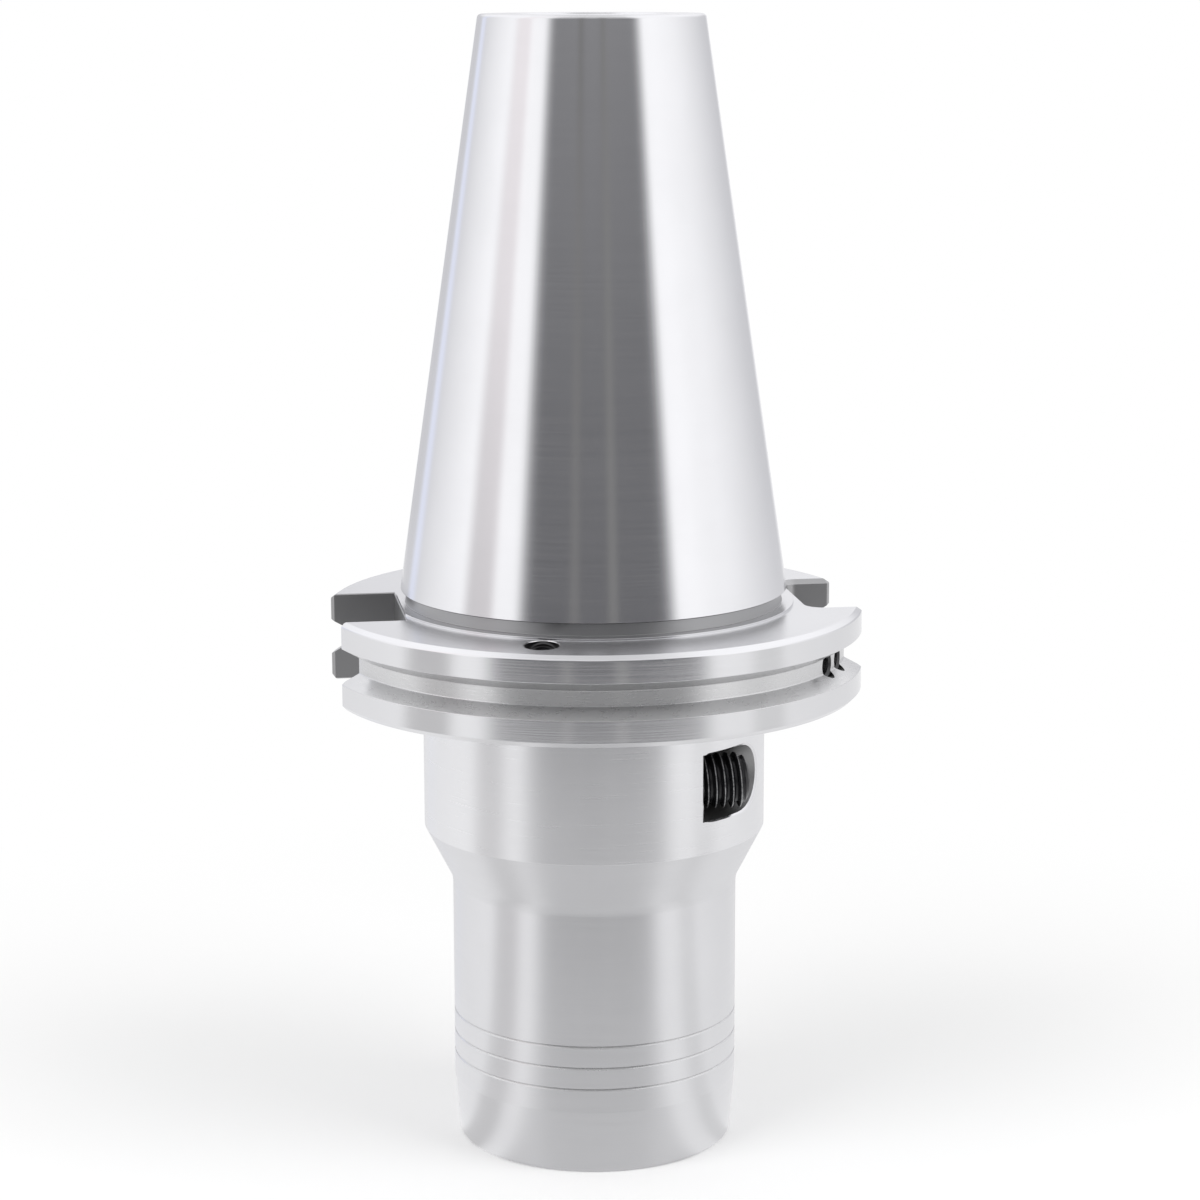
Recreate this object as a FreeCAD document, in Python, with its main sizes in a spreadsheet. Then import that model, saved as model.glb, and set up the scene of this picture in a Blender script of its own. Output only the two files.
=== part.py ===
import FreeCAD, Part
import os

import Sketcher

# Hydraulic expansion chuck with a 50-size 7/24 steep-taper shank and a V-flange.
# A thin sleeve is brazed into the nose. The clamping screw drives a piston into the
# oil behind the sleeve, and the sleeve closes on the tool shank.
#
# Frame: origin at the centre of the nose face, +Z along the axis towards the taper,
# +X through the shallow keyway, -X through the deep one. The clamping screw lies
# along X, on the -Y side, and its socket faces +X. Lengths are in millimetres.

# Driving sizes, one cell each
SIZES = {
    # shank, measured from the gauge line
    "gauge_length": 103.5,
    "gauge_dia": 69.85,
    "taper_rise": 7,
    "taper_run": 24,
    "taper_length": 101.75,
    "taper_end_radius": 0.8,
    "taper_overrun": 0.5,
    "neck_dia": 68.2,
    "neck_root_radius": 0.6,
    "collar_dia": 72.6,
    "collar_height": 0.4,
    # flange
    "face_drop": 3.2,
    "flange_dia": 97.5,
    "flange_thickness": 15.9,
    "upper_rim_width": 1.0,
    "upper_rim_height": 0.7,
    "lower_rim_chamfer": 0.9,
    "flange_root_radius": 2.0,
    "vee_drop": 11.1,
    "vee_depth": 3.125,
    "vee_floor_width": 2.8,
    "vee_flank_angle": 30,
    # drive keyways
    "keyway_width": 25.7,
    "keyway_mouth_chamfer": 0.7,
    "shallow_keyway_depth": 37.7,
    "shallow_keyway_radius": 2.6,
    "deep_keyway_depth": 35.3,
    # body and nose
    "body_dia": 62.4,
    "body_edge_height": 59.1,
    "cone_length": 9.9,
    "cone_root_radius": 5.0,
    "nose_dia": 52.2,
    "tip_dia": 50.3,
    "tip_taper_height": 11.6,
    "tip_edge_radius": 0.8,
    "ring_groove_height": 15.9,
    "ring_groove_pitch": 4.0,
    "ring_groove_count": 3,
    "ring_groove_width": 0.5,
    "ring_groove_depth": 0.25,
    # drawbar end
    "pilot_dia": 25.0,
    "pilot_depth": 11.5,
    "pilot_chamfer": 0.8,
    "stud_thread_dia": 24.0,
    "stud_thread_depth": 46.0,
    "coolant_bore_dia": 10.0,
    # expansion sleeve and its oil chambers
    "tool_bore_dia": 25.0,
    "tool_bore_chamfer": 0.8,
    "sleeve_dia": 31.0,
    "sleeve_length": 58.0,
    "chamber_depth": 1.5,
    "chamber_length": 18.0,
    "lower_chamber_height": 7.0,
    "upper_chamber_height": 31.0,
    "chamber_link_width": 4.0,
    "relief_length": 4.0,
    "relief_dia": 25.8,
    # length-adjusting screw
    "adjuster_thread_dia": 16.0,
    "adjuster_thread_hold": 7.0,
    "adjuster_tip_gap": 1.0,
    "adjuster_travel": 10.0,
    "adjuster_spigot_dia": 14.0,
    "adjuster_end_gap": 2.0,
    "adjuster_shoulder_gap": 0.3,
    "adjuster_chamfer": 0.8,
    "adjuster_socket_width": 8.0,
    "adjuster_socket_depth": 6.0,
    "adjuster_duct_dia": 5.0,
    "adjuster_seal_section": 1.3,
    "adjuster_seal_groove_width": 1.8,
    "adjuster_seal_setback": 1.2,
    "adjuster_seal_cover": 0.6,
    # clamping screw, its pocket and the piston
    "screw_height": 71.1,
    "screw_offset": 21.0,
    "pocket_radius": 6.1,
    "pocket_wall": 15.6,
    "pocket_edge_break": 0.2,
    "screw_dia": 10.0,
    "screw_length": 16.0,
    "screw_standout": 8.7,
    "screw_travel": 4.5,
    "screw_end_gap": 0.3,
    "screw_chamfer": 0.9,
    "screw_socket_width": 5.0,
    "screw_socket_depth": 6.0,
    "piston_dia": 8.0,
    "piston_length": 8.5,
    "piston_chamfer": 0.4,
    "piston_seal_section": 1.0,
    "piston_seal_groove_width": 2.2,
    "piston_seal_setback": 1.2,
    "backup_ring_width": 0.8,
    "pressure_room": 2.0,
    "oil_duct_dia": 2.0,
    "oil_duct_height": 44.0,
    # filling port with its ball and screw
    "port_azimuth": 150,
    "port_height": 66.0,
    "port_thread_dia": 6.0,
    "port_thread_depth": 9.8,
    "ball_dia": 4.0,
    # coolant ports in the flange face
    "coolant_port_radius": 40.4,
    "coolant_port_azimuth": -111,
    "coolant_port_dia": 6.0,
    "coolant_port_depth": 9.0,
    "coolant_port_chamfer": 0.25,
    "coolant_plug_recess": 3.4,
    "coolant_duct_dia": 4.0,
    "coolant_duct_swing": 30,
    "plug_length": 5.0,
    "plug_chamfer": 0.5,
    "plug_socket_width": 3.0,
    "plug_socket_depth": 2.5,
    # balance drillings on the floor of the V-groove
    "balance_hole_dia": 3.5,
    "balance_hole_depth": 5.0,
    "balance_hole_azimuth": -34,
    "balance_hole_step": 7.5,
    "balance_hole_count": 2,
    # clearances
    "thread_clearance": 0.05,
    "running_clearance": 0.03,
}

# Lengths that only make sure a cutting shape passes the metal, and a comparison limit
OVERCUT = 2.0
NEAR = 1e-4

doc = FreeCAD.newDocument("HydraulicChuck")
sheet = doc.addObject("Spreadsheet::Sheet", "Sizes")
for row, (alias, number) in enumerate(SIZES.items(), start=1):
    sheet.set(f"A{row}", alias)
    sheet.set(f"B{row}", str(number))
    sheet.setAlias(f"B{row}", alias)
doc.recompute()

# Heights and radii used by more than one piece, as expressions on the cells
FACE = "(Sizes.gauge_length - Sizes.face_drop)"
FLANGE_BOTTOM = f"({FACE} - Sizes.flange_thickness)"
SHANK_TOP = "(Sizes.gauge_length + Sizes.taper_length)"
SMALL_END_RADIUS = "(Sizes.gauge_dia / 2 - Sizes.taper_length * Sizes.taper_rise / Sizes.taper_run / 2)"
LARGE_END_RADIUS = "(Sizes.gauge_dia / 2 + Sizes.taper_overrun * Sizes.taper_rise / Sizes.taper_run / 2)"
VEE_HEIGHT = "(Sizes.gauge_length - Sizes.vee_drop)"
VEE_FLOOR_RADIUS = "(Sizes.flange_dia / 2 - Sizes.vee_depth)"
CHAMBER_RADIUS = "(Sizes.sleeve_dia / 2 - Sizes.chamber_depth)"
RELIEF_TOP = "(Sizes.sleeve_length + Sizes.relief_length)"
ADJUSTER_TIP = "(Sizes.sleeve_length + Sizes.adjuster_tip_gap)"
ADJUSTER_SHOULDER = f"({RELIEF_TOP} + Sizes.adjuster_thread_hold + Sizes.adjuster_travel)"
SPIGOT_BORE_START = f"({ADJUSTER_SHOULDER} + Sizes.adjuster_shoulder_gap)"
SEAL_GROOVE_FLOOR = f"({SPIGOT_BORE_START} + Sizes.adjuster_travel + Sizes.adjuster_seal_cover)"
SEAL_GROOVE_TOP = f"({SEAL_GROOVE_FLOOR} + Sizes.adjuster_seal_groove_width)"
ADJUSTER_TOP = f"({SEAL_GROOVE_TOP} + Sizes.adjuster_seal_setback)"
SPIGOT_BORE_END = f"({ADJUSTER_TOP} + Sizes.adjuster_end_gap)"
SCREW_OUTER = "(Sizes.pocket_wall + Sizes.screw_standout)"
SCREW_INNER = f"({SCREW_OUTER} - Sizes.screw_length)"
PISTON_BORE_START = f"({SCREW_INNER} - Sizes.screw_travel - Sizes.screw_end_gap)"
PISTON_INNER = f"({SCREW_INNER} - Sizes.piston_length)"
PRESSURE_END = f"({PISTON_INNER} - Sizes.screw_travel - Sizes.pressure_room)"
PORT_FLOOR = "(Sizes.body_dia / 2 - Sizes.port_thread_depth)"
COOLANT_AZIMUTHS = ("Sizes.coolant_port_azimuth", "(Sizes.coolant_port_azimuth + 180)")


def value(expression):
    """Number that an expression on the cells gives now."""
    return float(sheet.evalExpression(expression))


def origin_part(body, role):
    """Origin plane or axis of a body, by its role."""
    return next(part for part in body.Origin.OriginFeatures if part.Role == role)


def new_body(name):
    """Empty body whose label names its file."""
    body = doc.addObject("PartDesign::Body", name)
    body.Label = name
    return body


def new_sketch(body, name, role, offset=None):
    """Sketch on one of the body's origin planes, moved off it by an optional expression."""
    sketch = body.newObject("Sketcher::SketchObject", name)
    sketch.AttachmentSupport = (origin_part(body, role), [""])
    sketch.MapMode = "FlatFace"
    if offset:
        sketch.setExpression("AttachmentOffset.Base.z", offset)
    return sketch


def pin_point(sketch, geometry, point, place):
    """Tie one point of a sketch to a pair of expressions."""
    for kind, axis, expression in (("DistanceX", -2, place[0]), ("DistanceY", -1, place[1])):
        if expression == "0":
            sketch.addConstraint(Sketcher.Constraint("PointOnObject", geometry, point, axis))
        else:
            rule = Sketcher.Constraint(kind, geometry, point, value(expression))
            index = sketch.addConstraint(rule)
            sketch.setExpression(f"Constraints[{index}]", expression)


def draw_outline(sketch, corners):
    """Closed outline of straight lines through corners, each a pair of expressions."""
    places = [FreeCAD.Vector(value(across), value(along), 0) for across, along in corners]
    count = len(corners)
    for index in range(count):
        sketch.addGeometry(Part.LineSegment(places[index], places[(index + 1) % count]), False)
    for index in range(count):
        sketch.addConstraint(Sketcher.Constraint("Coincident", index, 2, (index + 1) % count, 1))
        pin_point(sketch, index, 1, corners[index])


def draw_circle(sketch, centre, radius):
    """Circle with its centre and radius given as expressions."""
    place = FreeCAD.Vector(value(centre[0]), value(centre[1]), 0)
    index = sketch.addGeometry(Part.Circle(place, FreeCAD.Vector(0, 0, 1), value(radius)), False)
    pin_point(sketch, index, 3, centre)
    rule = sketch.addConstraint(Sketcher.Constraint("Radius", index, value(radius)))
    sketch.setExpression(f"Constraints[{rule}]", radius)


def draw_hexagon(sketch, width):
    """Hexagon about the sketch's origin, given by its width across flats."""
    flat = f"({width} / 2)"
    corner = f"({width} / sqrt(3))"
    half = f"({width} / sqrt(12))"
    draw_outline(sketch, [(corner, "0"), (half, flat), (f"-{half}", flat),
                          (f"-{corner}", "0"), (f"-{half}", f"-{flat}"), (half, f"-{flat}")])


def require_cut(body, feature, volume):
    """Stop when a cutting feature has left the solid as it was."""
    body.Tip = feature
    doc.recompute()
    if feature.Shape.isNull() or feature.Shape.Volume > volume - NEAR:
        raise RuntimeError(f"{body.Label}: {feature.Name} cuts nothing")


def turn(body, name, corners):
    """Solid turned about Z from an outline in the XZ plane."""
    sketch = new_sketch(body, f"{name}Outline", "XZ_Plane")
    draw_outline(sketch, corners)
    feature = body.newObject("PartDesign::Revolution", name)
    feature.Profile = sketch
    feature.ReferenceAxis = (sketch, ["V_Axis"])
    feature.Angle = 360
    body.Tip = feature
    doc.recompute()
    return feature


def turn_away(body, name, corners):
    """Ring or bore turned out of the body about Z."""
    volume = body.Shape.Volume
    sketch = new_sketch(body, f"{name}Outline", "XZ_Plane")
    draw_outline(sketch, corners)
    feature = body.newObject("PartDesign::Groove", name)
    feature.Profile = sketch
    feature.ReferenceAxis = (sketch, ["V_Axis"])
    feature.Angle = 360
    require_cut(body, feature, volume)
    return feature


def pocket(body, name, sketch, length, forward=False):
    """Pocket from a sketch, against its plane's normal unless forward is set."""
    volume = body.Shape.Volume
    feature = body.newObject("PartDesign::Pocket", name)
    feature.Profile = sketch
    feature.Reversed = forward
    feature.setExpression("Length", length)
    require_cut(body, feature, volume)
    return feature


def span(start, end):
    """Steps in X, Y and Z from start to end, and the distance, as expressions."""
    steps = [f"({last} - {first})" for first, last in zip(start, end)]
    return steps, f"sqrt({steps[0]}^2 + {steps[1]}^2 + {steps[2]}^2)"


def aimed(place, start, end):
    """Placement at a place, with its Z turned the way from start to end."""
    (across, along, up), length = span(start, end)
    return (f"placement(vector({place[0]}; {place[1]}; {place[2]}); "
            f"rotation(vector(0; 0; 1); atan2({along}; {across})) * "
            f"rotation(vector(0; 1; 0); acos({up} / {length})))")


def point_on(start, end, distance):
    """Point at a distance from start on the line to end, as a triple of expressions."""
    steps, length = span(start, end)
    return tuple(f"({first} + {distance} * {step} / {length})" for first, step in zip(start, steps))


def drill(body, name, start, end, diameter):
    """Plain drilling from start to end, both triples of expressions."""
    volume = body.Shape.Volume
    feature = body.newObject("PartDesign::SubtractiveCylinder", name)
    feature.setExpression("Radius", f"{diameter} / 2")
    feature.setExpression("Height", span(start, end)[1])
    feature.setExpression("Placement", aimed(start, start, end))
    require_cut(body, feature, volume)
    return feature


def ring_edges(feature, radius, height):
    """Names of the round edges about Z at a radius and height given as expressions."""
    names = []
    for index, edge in enumerate(feature.Shape.Edges, start=1):
        box = edge.BoundBox
        level = abs(box.ZMin - value(height)) < NEAR and abs(box.ZMax - value(height)) < NEAR
        if level and hasattr(edge.Curve, "Radius") and abs(edge.Curve.Radius - value(radius)) < NEAR:
            names.append(f"Edge{index}")
    if not names:
        raise RuntimeError(f"{feature.Name}: no edge of radius {radius} at height {height}")
    return names


def fillet(body, name, base, edges, radius):
    """Fillet along named edges of the feature base."""
    feature = body.newObject("PartDesign::Fillet", name)
    feature.Base = (base, edges)
    feature.setExpression("Radius", radius)
    body.Tip = feature
    doc.recompute()
    return feature


def polar(radius, azimuth):
    """Pair of expressions for a point at a radius and an azimuth."""
    return f"({radius} * cos({azimuth} * 1deg))", f"({radius} * sin({azimuth} * 1deg))"


def coolant_line(azimuth):
    """Deep end and mouth of a coolant duct whose mouth is at an azimuth on the flange face."""
    deep = polar("(Sizes.tool_bore_dia / 2 - Sizes.coolant_duct_dia / 2)",
                 f"({azimuth} - Sizes.coolant_duct_swing)")
    mouth = polar("Sizes.coolant_port_radius", azimuth)
    return deep + (f"({RELIEF_TOP} - Sizes.coolant_duct_dia / 2)",), mouth + (FACE,)


def turn_holder(body):
    """Taper, neck, flange, body, cone and nose in one outline, with their fillets."""
    nose_radius = "(Sizes.nose_dia / 2)"
    body_radius = "(Sizes.body_dia / 2)"
    cone_root = "(Sizes.body_edge_height - Sizes.cone_length)"
    collar_top = f"({FACE} + Sizes.collar_height)"
    turned = turn(body, "Turned", [
        ("0", "0"),
        ("Sizes.tip_dia / 2", "0"),
        (nose_radius, "Sizes.tip_taper_height"),
        (nose_radius, cone_root),
        (body_radius, "Sizes.body_edge_height"),
        (body_radius, FLANGE_BOTTOM),
        ("Sizes.flange_dia / 2 - Sizes.lower_rim_chamfer", FLANGE_BOTTOM),
        ("Sizes.flange_dia / 2", f"{FLANGE_BOTTOM} + Sizes.lower_rim_chamfer"),
        ("Sizes.flange_dia / 2", f"{FACE} - Sizes.upper_rim_height"),
        ("Sizes.flange_dia / 2 - Sizes.upper_rim_width", FACE),
        ("Sizes.collar_dia / 2", FACE),
        ("Sizes.collar_dia / 2", collar_top),
        ("Sizes.neck_dia / 2", collar_top),
        ("Sizes.neck_dia / 2", "Sizes.gauge_length - Sizes.taper_overrun"),
        (LARGE_END_RADIUS, "Sizes.gauge_length - Sizes.taper_overrun"),
        (SMALL_END_RADIUS, SHANK_TOP),
        ("0", SHANK_TOP)])
    rounded = turned
    for name, radius, height, size in (
            ("TaperEnd", SMALL_END_RADIUS, SHANK_TOP, "Sizes.taper_end_radius"),
            ("NeckRoot", "Sizes.neck_dia / 2", collar_top, "Sizes.neck_root_radius"),
            ("FlangeRoot", body_radius, FLANGE_BOTTOM, "Sizes.flange_root_radius"),
            ("ConeRoot", nose_radius, cone_root, "Sizes.cone_root_radius"),
            ("TipEdge", "Sizes.tip_dia / 2", "0", "Sizes.tip_edge_radius")):
        rounded = fillet(body, name, rounded, ring_edges(rounded, radius, height), size)


def cut_vee_groove(body):
    """Gripper groove round the flange, with both flanks at the flank angle."""
    floor = "(Sizes.vee_floor_width / 2)"
    mouth_radius = f"(Sizes.flange_dia / 2 + {OVERCUT})"
    flare = f"(({mouth_radius} - {VEE_FLOOR_RADIUS}) * tan(Sizes.vee_flank_angle * 1deg))"
    turn_away(body, "VeeGroove", [
        (VEE_FLOOR_RADIUS, f"{VEE_HEIGHT} - {floor}"),
        (mouth_radius, f"{VEE_HEIGHT} - {floor} - {flare}"),
        (mouth_radius, f"{VEE_HEIGHT} + {floor} + {flare}"),
        (VEE_FLOOR_RADIUS, f"{VEE_HEIGHT} + {floor}")])


def cut_ring_grooves(body):
    """Fine turned rings near the tip of the nose, one above the other."""
    volume = body.Shape.Volume
    half = "(Sizes.ring_groove_width / 2)"
    flare = f"({half} * {OVERCUT} / Sizes.ring_groove_depth)"
    mouth_radius = f"(Sizes.nose_dia / 2 + {OVERCUT})"
    groove = turn_away(body, "RingGroove", [
        ("Sizes.nose_dia / 2 - Sizes.ring_groove_depth", "Sizes.ring_groove_height"),
        (mouth_radius, f"Sizes.ring_groove_height - {half} - {flare}"),
        (mouth_radius, f"Sizes.ring_groove_height + {half} + {flare}")])
    pattern = body.newObject("PartDesign::LinearPattern", "RingGrooves")
    pattern.Originals = [groove]
    pattern.Direction = (origin_part(body, "Z_Axis"), [""])
    pattern.setExpression("Length", "Sizes.ring_groove_pitch * (Sizes.ring_groove_count - 1)")
    pattern.setExpression("Occurrences", "Sizes.ring_groove_count")
    require_cut(body, pattern, volume)


def cut_bores(body):
    """Sleeve seat and adjuster bores from the nose, stud and coolant bores from the shank."""
    thread_radius = "Sizes.adjuster_thread_dia / 2"
    spigot_radius = "Sizes.adjuster_spigot_dia / 2"
    turn_away(body, "NoseBores", [
        ("0", "0"),
        ("Sizes.sleeve_dia / 2", "0"),
        ("Sizes.sleeve_dia / 2", "Sizes.sleeve_length"),
        ("Sizes.relief_dia / 2", "Sizes.sleeve_length"),
        ("Sizes.relief_dia / 2", RELIEF_TOP),
        (thread_radius, RELIEF_TOP),
        (thread_radius, SPIGOT_BORE_START),
        (spigot_radius, SPIGOT_BORE_START),
        (spigot_radius, SPIGOT_BORE_END),
        ("0", SPIGOT_BORE_END)])
    thread_end = f"({SHANK_TOP} - Sizes.stud_thread_depth)"
    pilot_end = f"({SHANK_TOP} - Sizes.pilot_depth)"
    turn_away(body, "ShankBores", [
        ("0", SPIGOT_BORE_END),
        ("Sizes.coolant_bore_dia / 2", SPIGOT_BORE_END),
        ("Sizes.coolant_bore_dia / 2", thread_end),
        ("Sizes.stud_thread_dia / 2", thread_end),
        ("Sizes.stud_thread_dia / 2", pilot_end),
        ("Sizes.pilot_dia / 2", pilot_end),
        ("Sizes.pilot_dia / 2", f"{SHANK_TOP} - Sizes.pilot_chamfer"),
        ("Sizes.pilot_dia / 2 + Sizes.pilot_chamfer", SHANK_TOP),
        ("0", SHANK_TOP)])


def cut_keyway(body, name, side, depth):
    """Drive keyway on the side -1 or 1, its floor at depth from the axis."""
    half = "(Sizes.keyway_width / 2)"
    rim = f"sqrt((Sizes.flange_dia / 2)^2 - {half}^2)"
    wall_end = f"{side} * ({rim} - Sizes.keyway_mouth_chamfer)"
    outside = f"{side} * ({rim} + {OVERCUT})"
    flared = f"({half} + Sizes.keyway_mouth_chamfer + {OVERCUT})"
    sketch = new_sketch(body, f"{name}Outline", "XY_Plane", f"{FLANGE_BOTTOM} - {OVERCUT}")
    draw_outline(sketch, [
        (f"{side} * {depth}", f"-{half}"),
        (wall_end, f"-{half}"),
        (outside, f"-{flared}"),
        (outside, flared),
        (wall_end, half),
        (f"{side} * {depth}", half)])
    return pocket(body, name, sketch, f"Sizes.flange_thickness + 2 * {OVERCUT}", forward=True)


def round_keyway_corners(body, keyway, depth, radius):
    """Cutter radius in the two inner corners of a keyway on the +X side."""
    names = []
    for index, edge in enumerate(keyway.Shape.Edges, start=1):
        box = edge.BoundBox
        upright = box.XLength < NEAR and box.YLength < NEAR
        at_floor = abs(box.XMin - value(depth)) < NEAR
        at_wall = abs(abs(box.YMin) - value("Sizes.keyway_width / 2")) < NEAR
        if upright and at_floor and at_wall:
            names.append(f"Edge{index}")
    fillet(body, f"{keyway.Name}Corners", keyway, names, radius)


def cut_screw_pocket(body):
    """Milled pocket, open to -Y and +X, round the end of the clamping screw."""
    sketch = new_sketch(body, "PocketOutline", "YZ_Plane", "Sizes.pocket_wall")
    centre = ("-Sizes.screw_offset", "Sizes.screw_height")
    low = f"(Sizes.screw_height - Sizes.pocket_radius)"
    high = f"(Sizes.screw_height + Sizes.pocket_radius)"
    outside = f"(-Sizes.body_dia / 2 - {OVERCUT})"
    corners = [(centre[0], high), (outside, high), (outside, low), (centre[0], low)]
    places = [FreeCAD.Vector(value(across), value(up), 0) for across, up in corners]
    for index in range(3):
        sketch.addGeometry(Part.LineSegment(places[index], places[index + 1]), False)
    inmost = FreeCAD.Vector(value(f"{centre[0]} + Sizes.pocket_radius"), value(centre[1]), 0)
    arc = sketch.addGeometry(Part.Arc(places[3], inmost, places[0]), False)
    for index in range(3):
        pin_point(sketch, index, 1, corners[index])
    pin_point(sketch, 2, 2, corners[3])
    sketch.addConstraint(Sketcher.Constraint("Coincident", 0, 2, 1, 1))
    sketch.addConstraint(Sketcher.Constraint("Coincident", 1, 2, 2, 1))
    sketch.addConstraint(Sketcher.Constraint("Coincident", 2, 2, arc, 1))
    sketch.addConstraint(Sketcher.Constraint("Coincident", arc, 2, 0, 1))
    rule = sketch.addConstraint(Sketcher.Constraint("DistanceX", arc, 3, value(centre[0])))
    sketch.setExpression(f"Constraints[{rule}]", centre[0])
    feature = pocket(body, "ScrewPocket", sketch, "Sizes.body_dia / 2", forward=True)
    break_pocket_edge(body, feature)


def break_pocket_edge(body, cut):
    """Small chamfer where the pocket's walls meet the round body."""
    names = []
    body_radius = value("Sizes.body_dia / 2")
    wall = value("Sizes.pocket_wall")
    for index, edge in enumerate(cut.Shape.Edges, start=1):
        middle = edge.valueAt((edge.FirstParameter + edge.LastParameter) / 2)
        on_body = all(abs((point.x**2 + point.y**2)**0.5 - body_radius) < NEAR
                      for point in [middle] + [vertex.Point for vertex in edge.Vertexes])
        drop = abs(middle.z - value("Sizes.screw_height"))
        near_pocket = drop < value("Sizes.pocket_radius") + NEAR
        if on_body and near_pocket and middle.y < 0 and middle.x > wall - NEAR:
            names.append(f"Edge{index}")
    feature = body.newObject("PartDesign::Chamfer", "PocketEdge")
    feature.Base = (cut, names)
    feature.setExpression("Size", "Sizes.pocket_edge_break")
    volume = cut.Shape.Volume
    require_cut(body, feature, volume)


def bore_clamping_line(body):
    """Tapped hole of the clamping screw and the piston bore behind it, along -X."""
    centre = ("-Sizes.screw_offset", "Sizes.screw_height")
    tapped = new_sketch(body, "ScrewHoleOutline", "YZ_Plane", "Sizes.pocket_wall")
    draw_circle(tapped, centre, "Sizes.screw_dia / 2")
    pocket(body, "ScrewHole", tapped, f"Sizes.pocket_wall - {PISTON_BORE_START}")
    bore = new_sketch(body, "PistonBoreOutline", "YZ_Plane", PISTON_BORE_START)
    draw_circle(bore, centre, "Sizes.piston_dia / 2")
    pocket(body, "PistonBore", bore, f"{PISTON_BORE_START} - {PRESSURE_END}")


def drill_oil_duct(body):
    """Slanting duct from the piston bore's end to the sleeve's upper chamber."""
    end = (f"({PRESSURE_END} + Sizes.oil_duct_dia / 2)", "(-Sizes.screw_offset)", "Sizes.screw_height")
    reach = f"sqrt({end[0]}^2 + {end[1]}^2)"
    start = (f"({CHAMBER_RADIUS} * {end[0]} / {reach})", f"({CHAMBER_RADIUS} * {end[1]} / {reach})",
             "Sizes.oil_duct_height")
    drill(body, "OilDuct", start, end, "Sizes.oil_duct_dia")


def drill_filling_port(body):
    """Radial port for the filling screw and ball, with its duct to the upper chamber."""
    outside = polar(f"(Sizes.body_dia / 2 + {OVERCUT})", "Sizes.port_azimuth")
    floor = polar(PORT_FLOOR, "Sizes.port_azimuth")
    inner = polar(f"({PORT_FLOOR} - Sizes.ball_dia)", "Sizes.port_azimuth")
    chamber = polar(CHAMBER_RADIUS, "Sizes.port_azimuth")
    drill(body, "PortThread", outside + ("Sizes.port_height",), floor + ("Sizes.port_height",),
          "Sizes.port_thread_dia")
    drill(body, "PortSeat", floor + ("Sizes.port_height",), inner + ("Sizes.port_height",),
          "Sizes.oil_duct_dia")
    drill(body, "PortDuct", chamber + ("Sizes.oil_duct_height",), inner + ("Sizes.port_height",),
          "Sizes.oil_duct_dia")


def drill_coolant_ports(body):
    """Two slanting ducts from the flange face to the space behind the tool, tapped at the mouth."""
    for number, azimuth in enumerate(COOLANT_AZIMUTHS, start=1):
        deep, mouth = coolant_line(azimuth)
        floor = point_on(mouth, deep, "Sizes.coolant_port_depth")
        outside = point_on(mouth, deep, "(-Sizes.coolant_port_dia)")
        drill(body, f"CoolantDuct{number}", deep, mouth, "Sizes.coolant_duct_dia")
        port = drill(body, f"CoolantPort{number}", floor, outside, "Sizes.coolant_port_dia")
    chamfer_coolant_mouths(body, port)


def chamfer_coolant_mouths(body, ports):
    """Small chamfer round the oval mouth of each coolant port."""
    names = []
    level = value(FACE)
    reach = value("Sizes.coolant_port_dia")
    mouths = [coolant_line(azimuth)[1] for azimuth in COOLANT_AZIMUTHS]
    centres = [FreeCAD.Vector(*(value(part) for part in mouth)) for mouth in mouths]
    for index, edge in enumerate(ports.Shape.Edges, start=1):
        middle = edge.valueAt((edge.FirstParameter + edge.LastParameter) / 2)
        on_face = all(abs(point.z - level) < NEAR
                      for point in [middle] + [vertex.Point for vertex in edge.Vertexes])
        if on_face and min(middle.distanceToPoint(centre) for centre in centres) < reach:
            names.append(f"Edge{index}")
    feature = body.newObject("PartDesign::Chamfer", "CoolantMouths")
    feature.Base = (ports, names)
    feature.setExpression("Size", "Sizes.coolant_port_chamfer")
    require_cut(body, feature, ports.Shape.Volume)


def drill_balance_holes(body):
    """Blind radial drillings on the floor of the V-groove, beside the shallow keyway."""
    for index in range(round(value("Sizes.balance_hole_count"))):
        azimuth = f"(Sizes.balance_hole_azimuth + {index} * Sizes.balance_hole_step)"
        outside = polar("(Sizes.flange_dia / 2)", azimuth)
        inside = polar(f"({VEE_FLOOR_RADIUS} - Sizes.balance_hole_depth)", azimuth)
        drill(body, f"BalanceHole{index + 1}", outside + (VEE_HEIGHT,), inside + (VEE_HEIGHT,),
              "Sizes.balance_hole_dia")


def make_holder():
    """One-piece holder: shank, flange, body and nose."""
    body = new_body("holder_body")
    turn_holder(body)
    cut_vee_groove(body)
    cut_ring_grooves(body)
    cut_bores(body)
    keyway = cut_keyway(body, "ShallowKeyway", 1, "Sizes.shallow_keyway_depth")
    round_keyway_corners(body, keyway, "Sizes.shallow_keyway_depth", "Sizes.shallow_keyway_radius")
    cut_keyway(body, "DeepKeyway", -1, "Sizes.deep_keyway_depth")
    cut_screw_pocket(body)
    bore_clamping_line(body)
    drill_oil_duct(body)
    drill_filling_port(body)
    drill_coolant_ports(body)
    drill_balance_holes(body)
    return body


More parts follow.
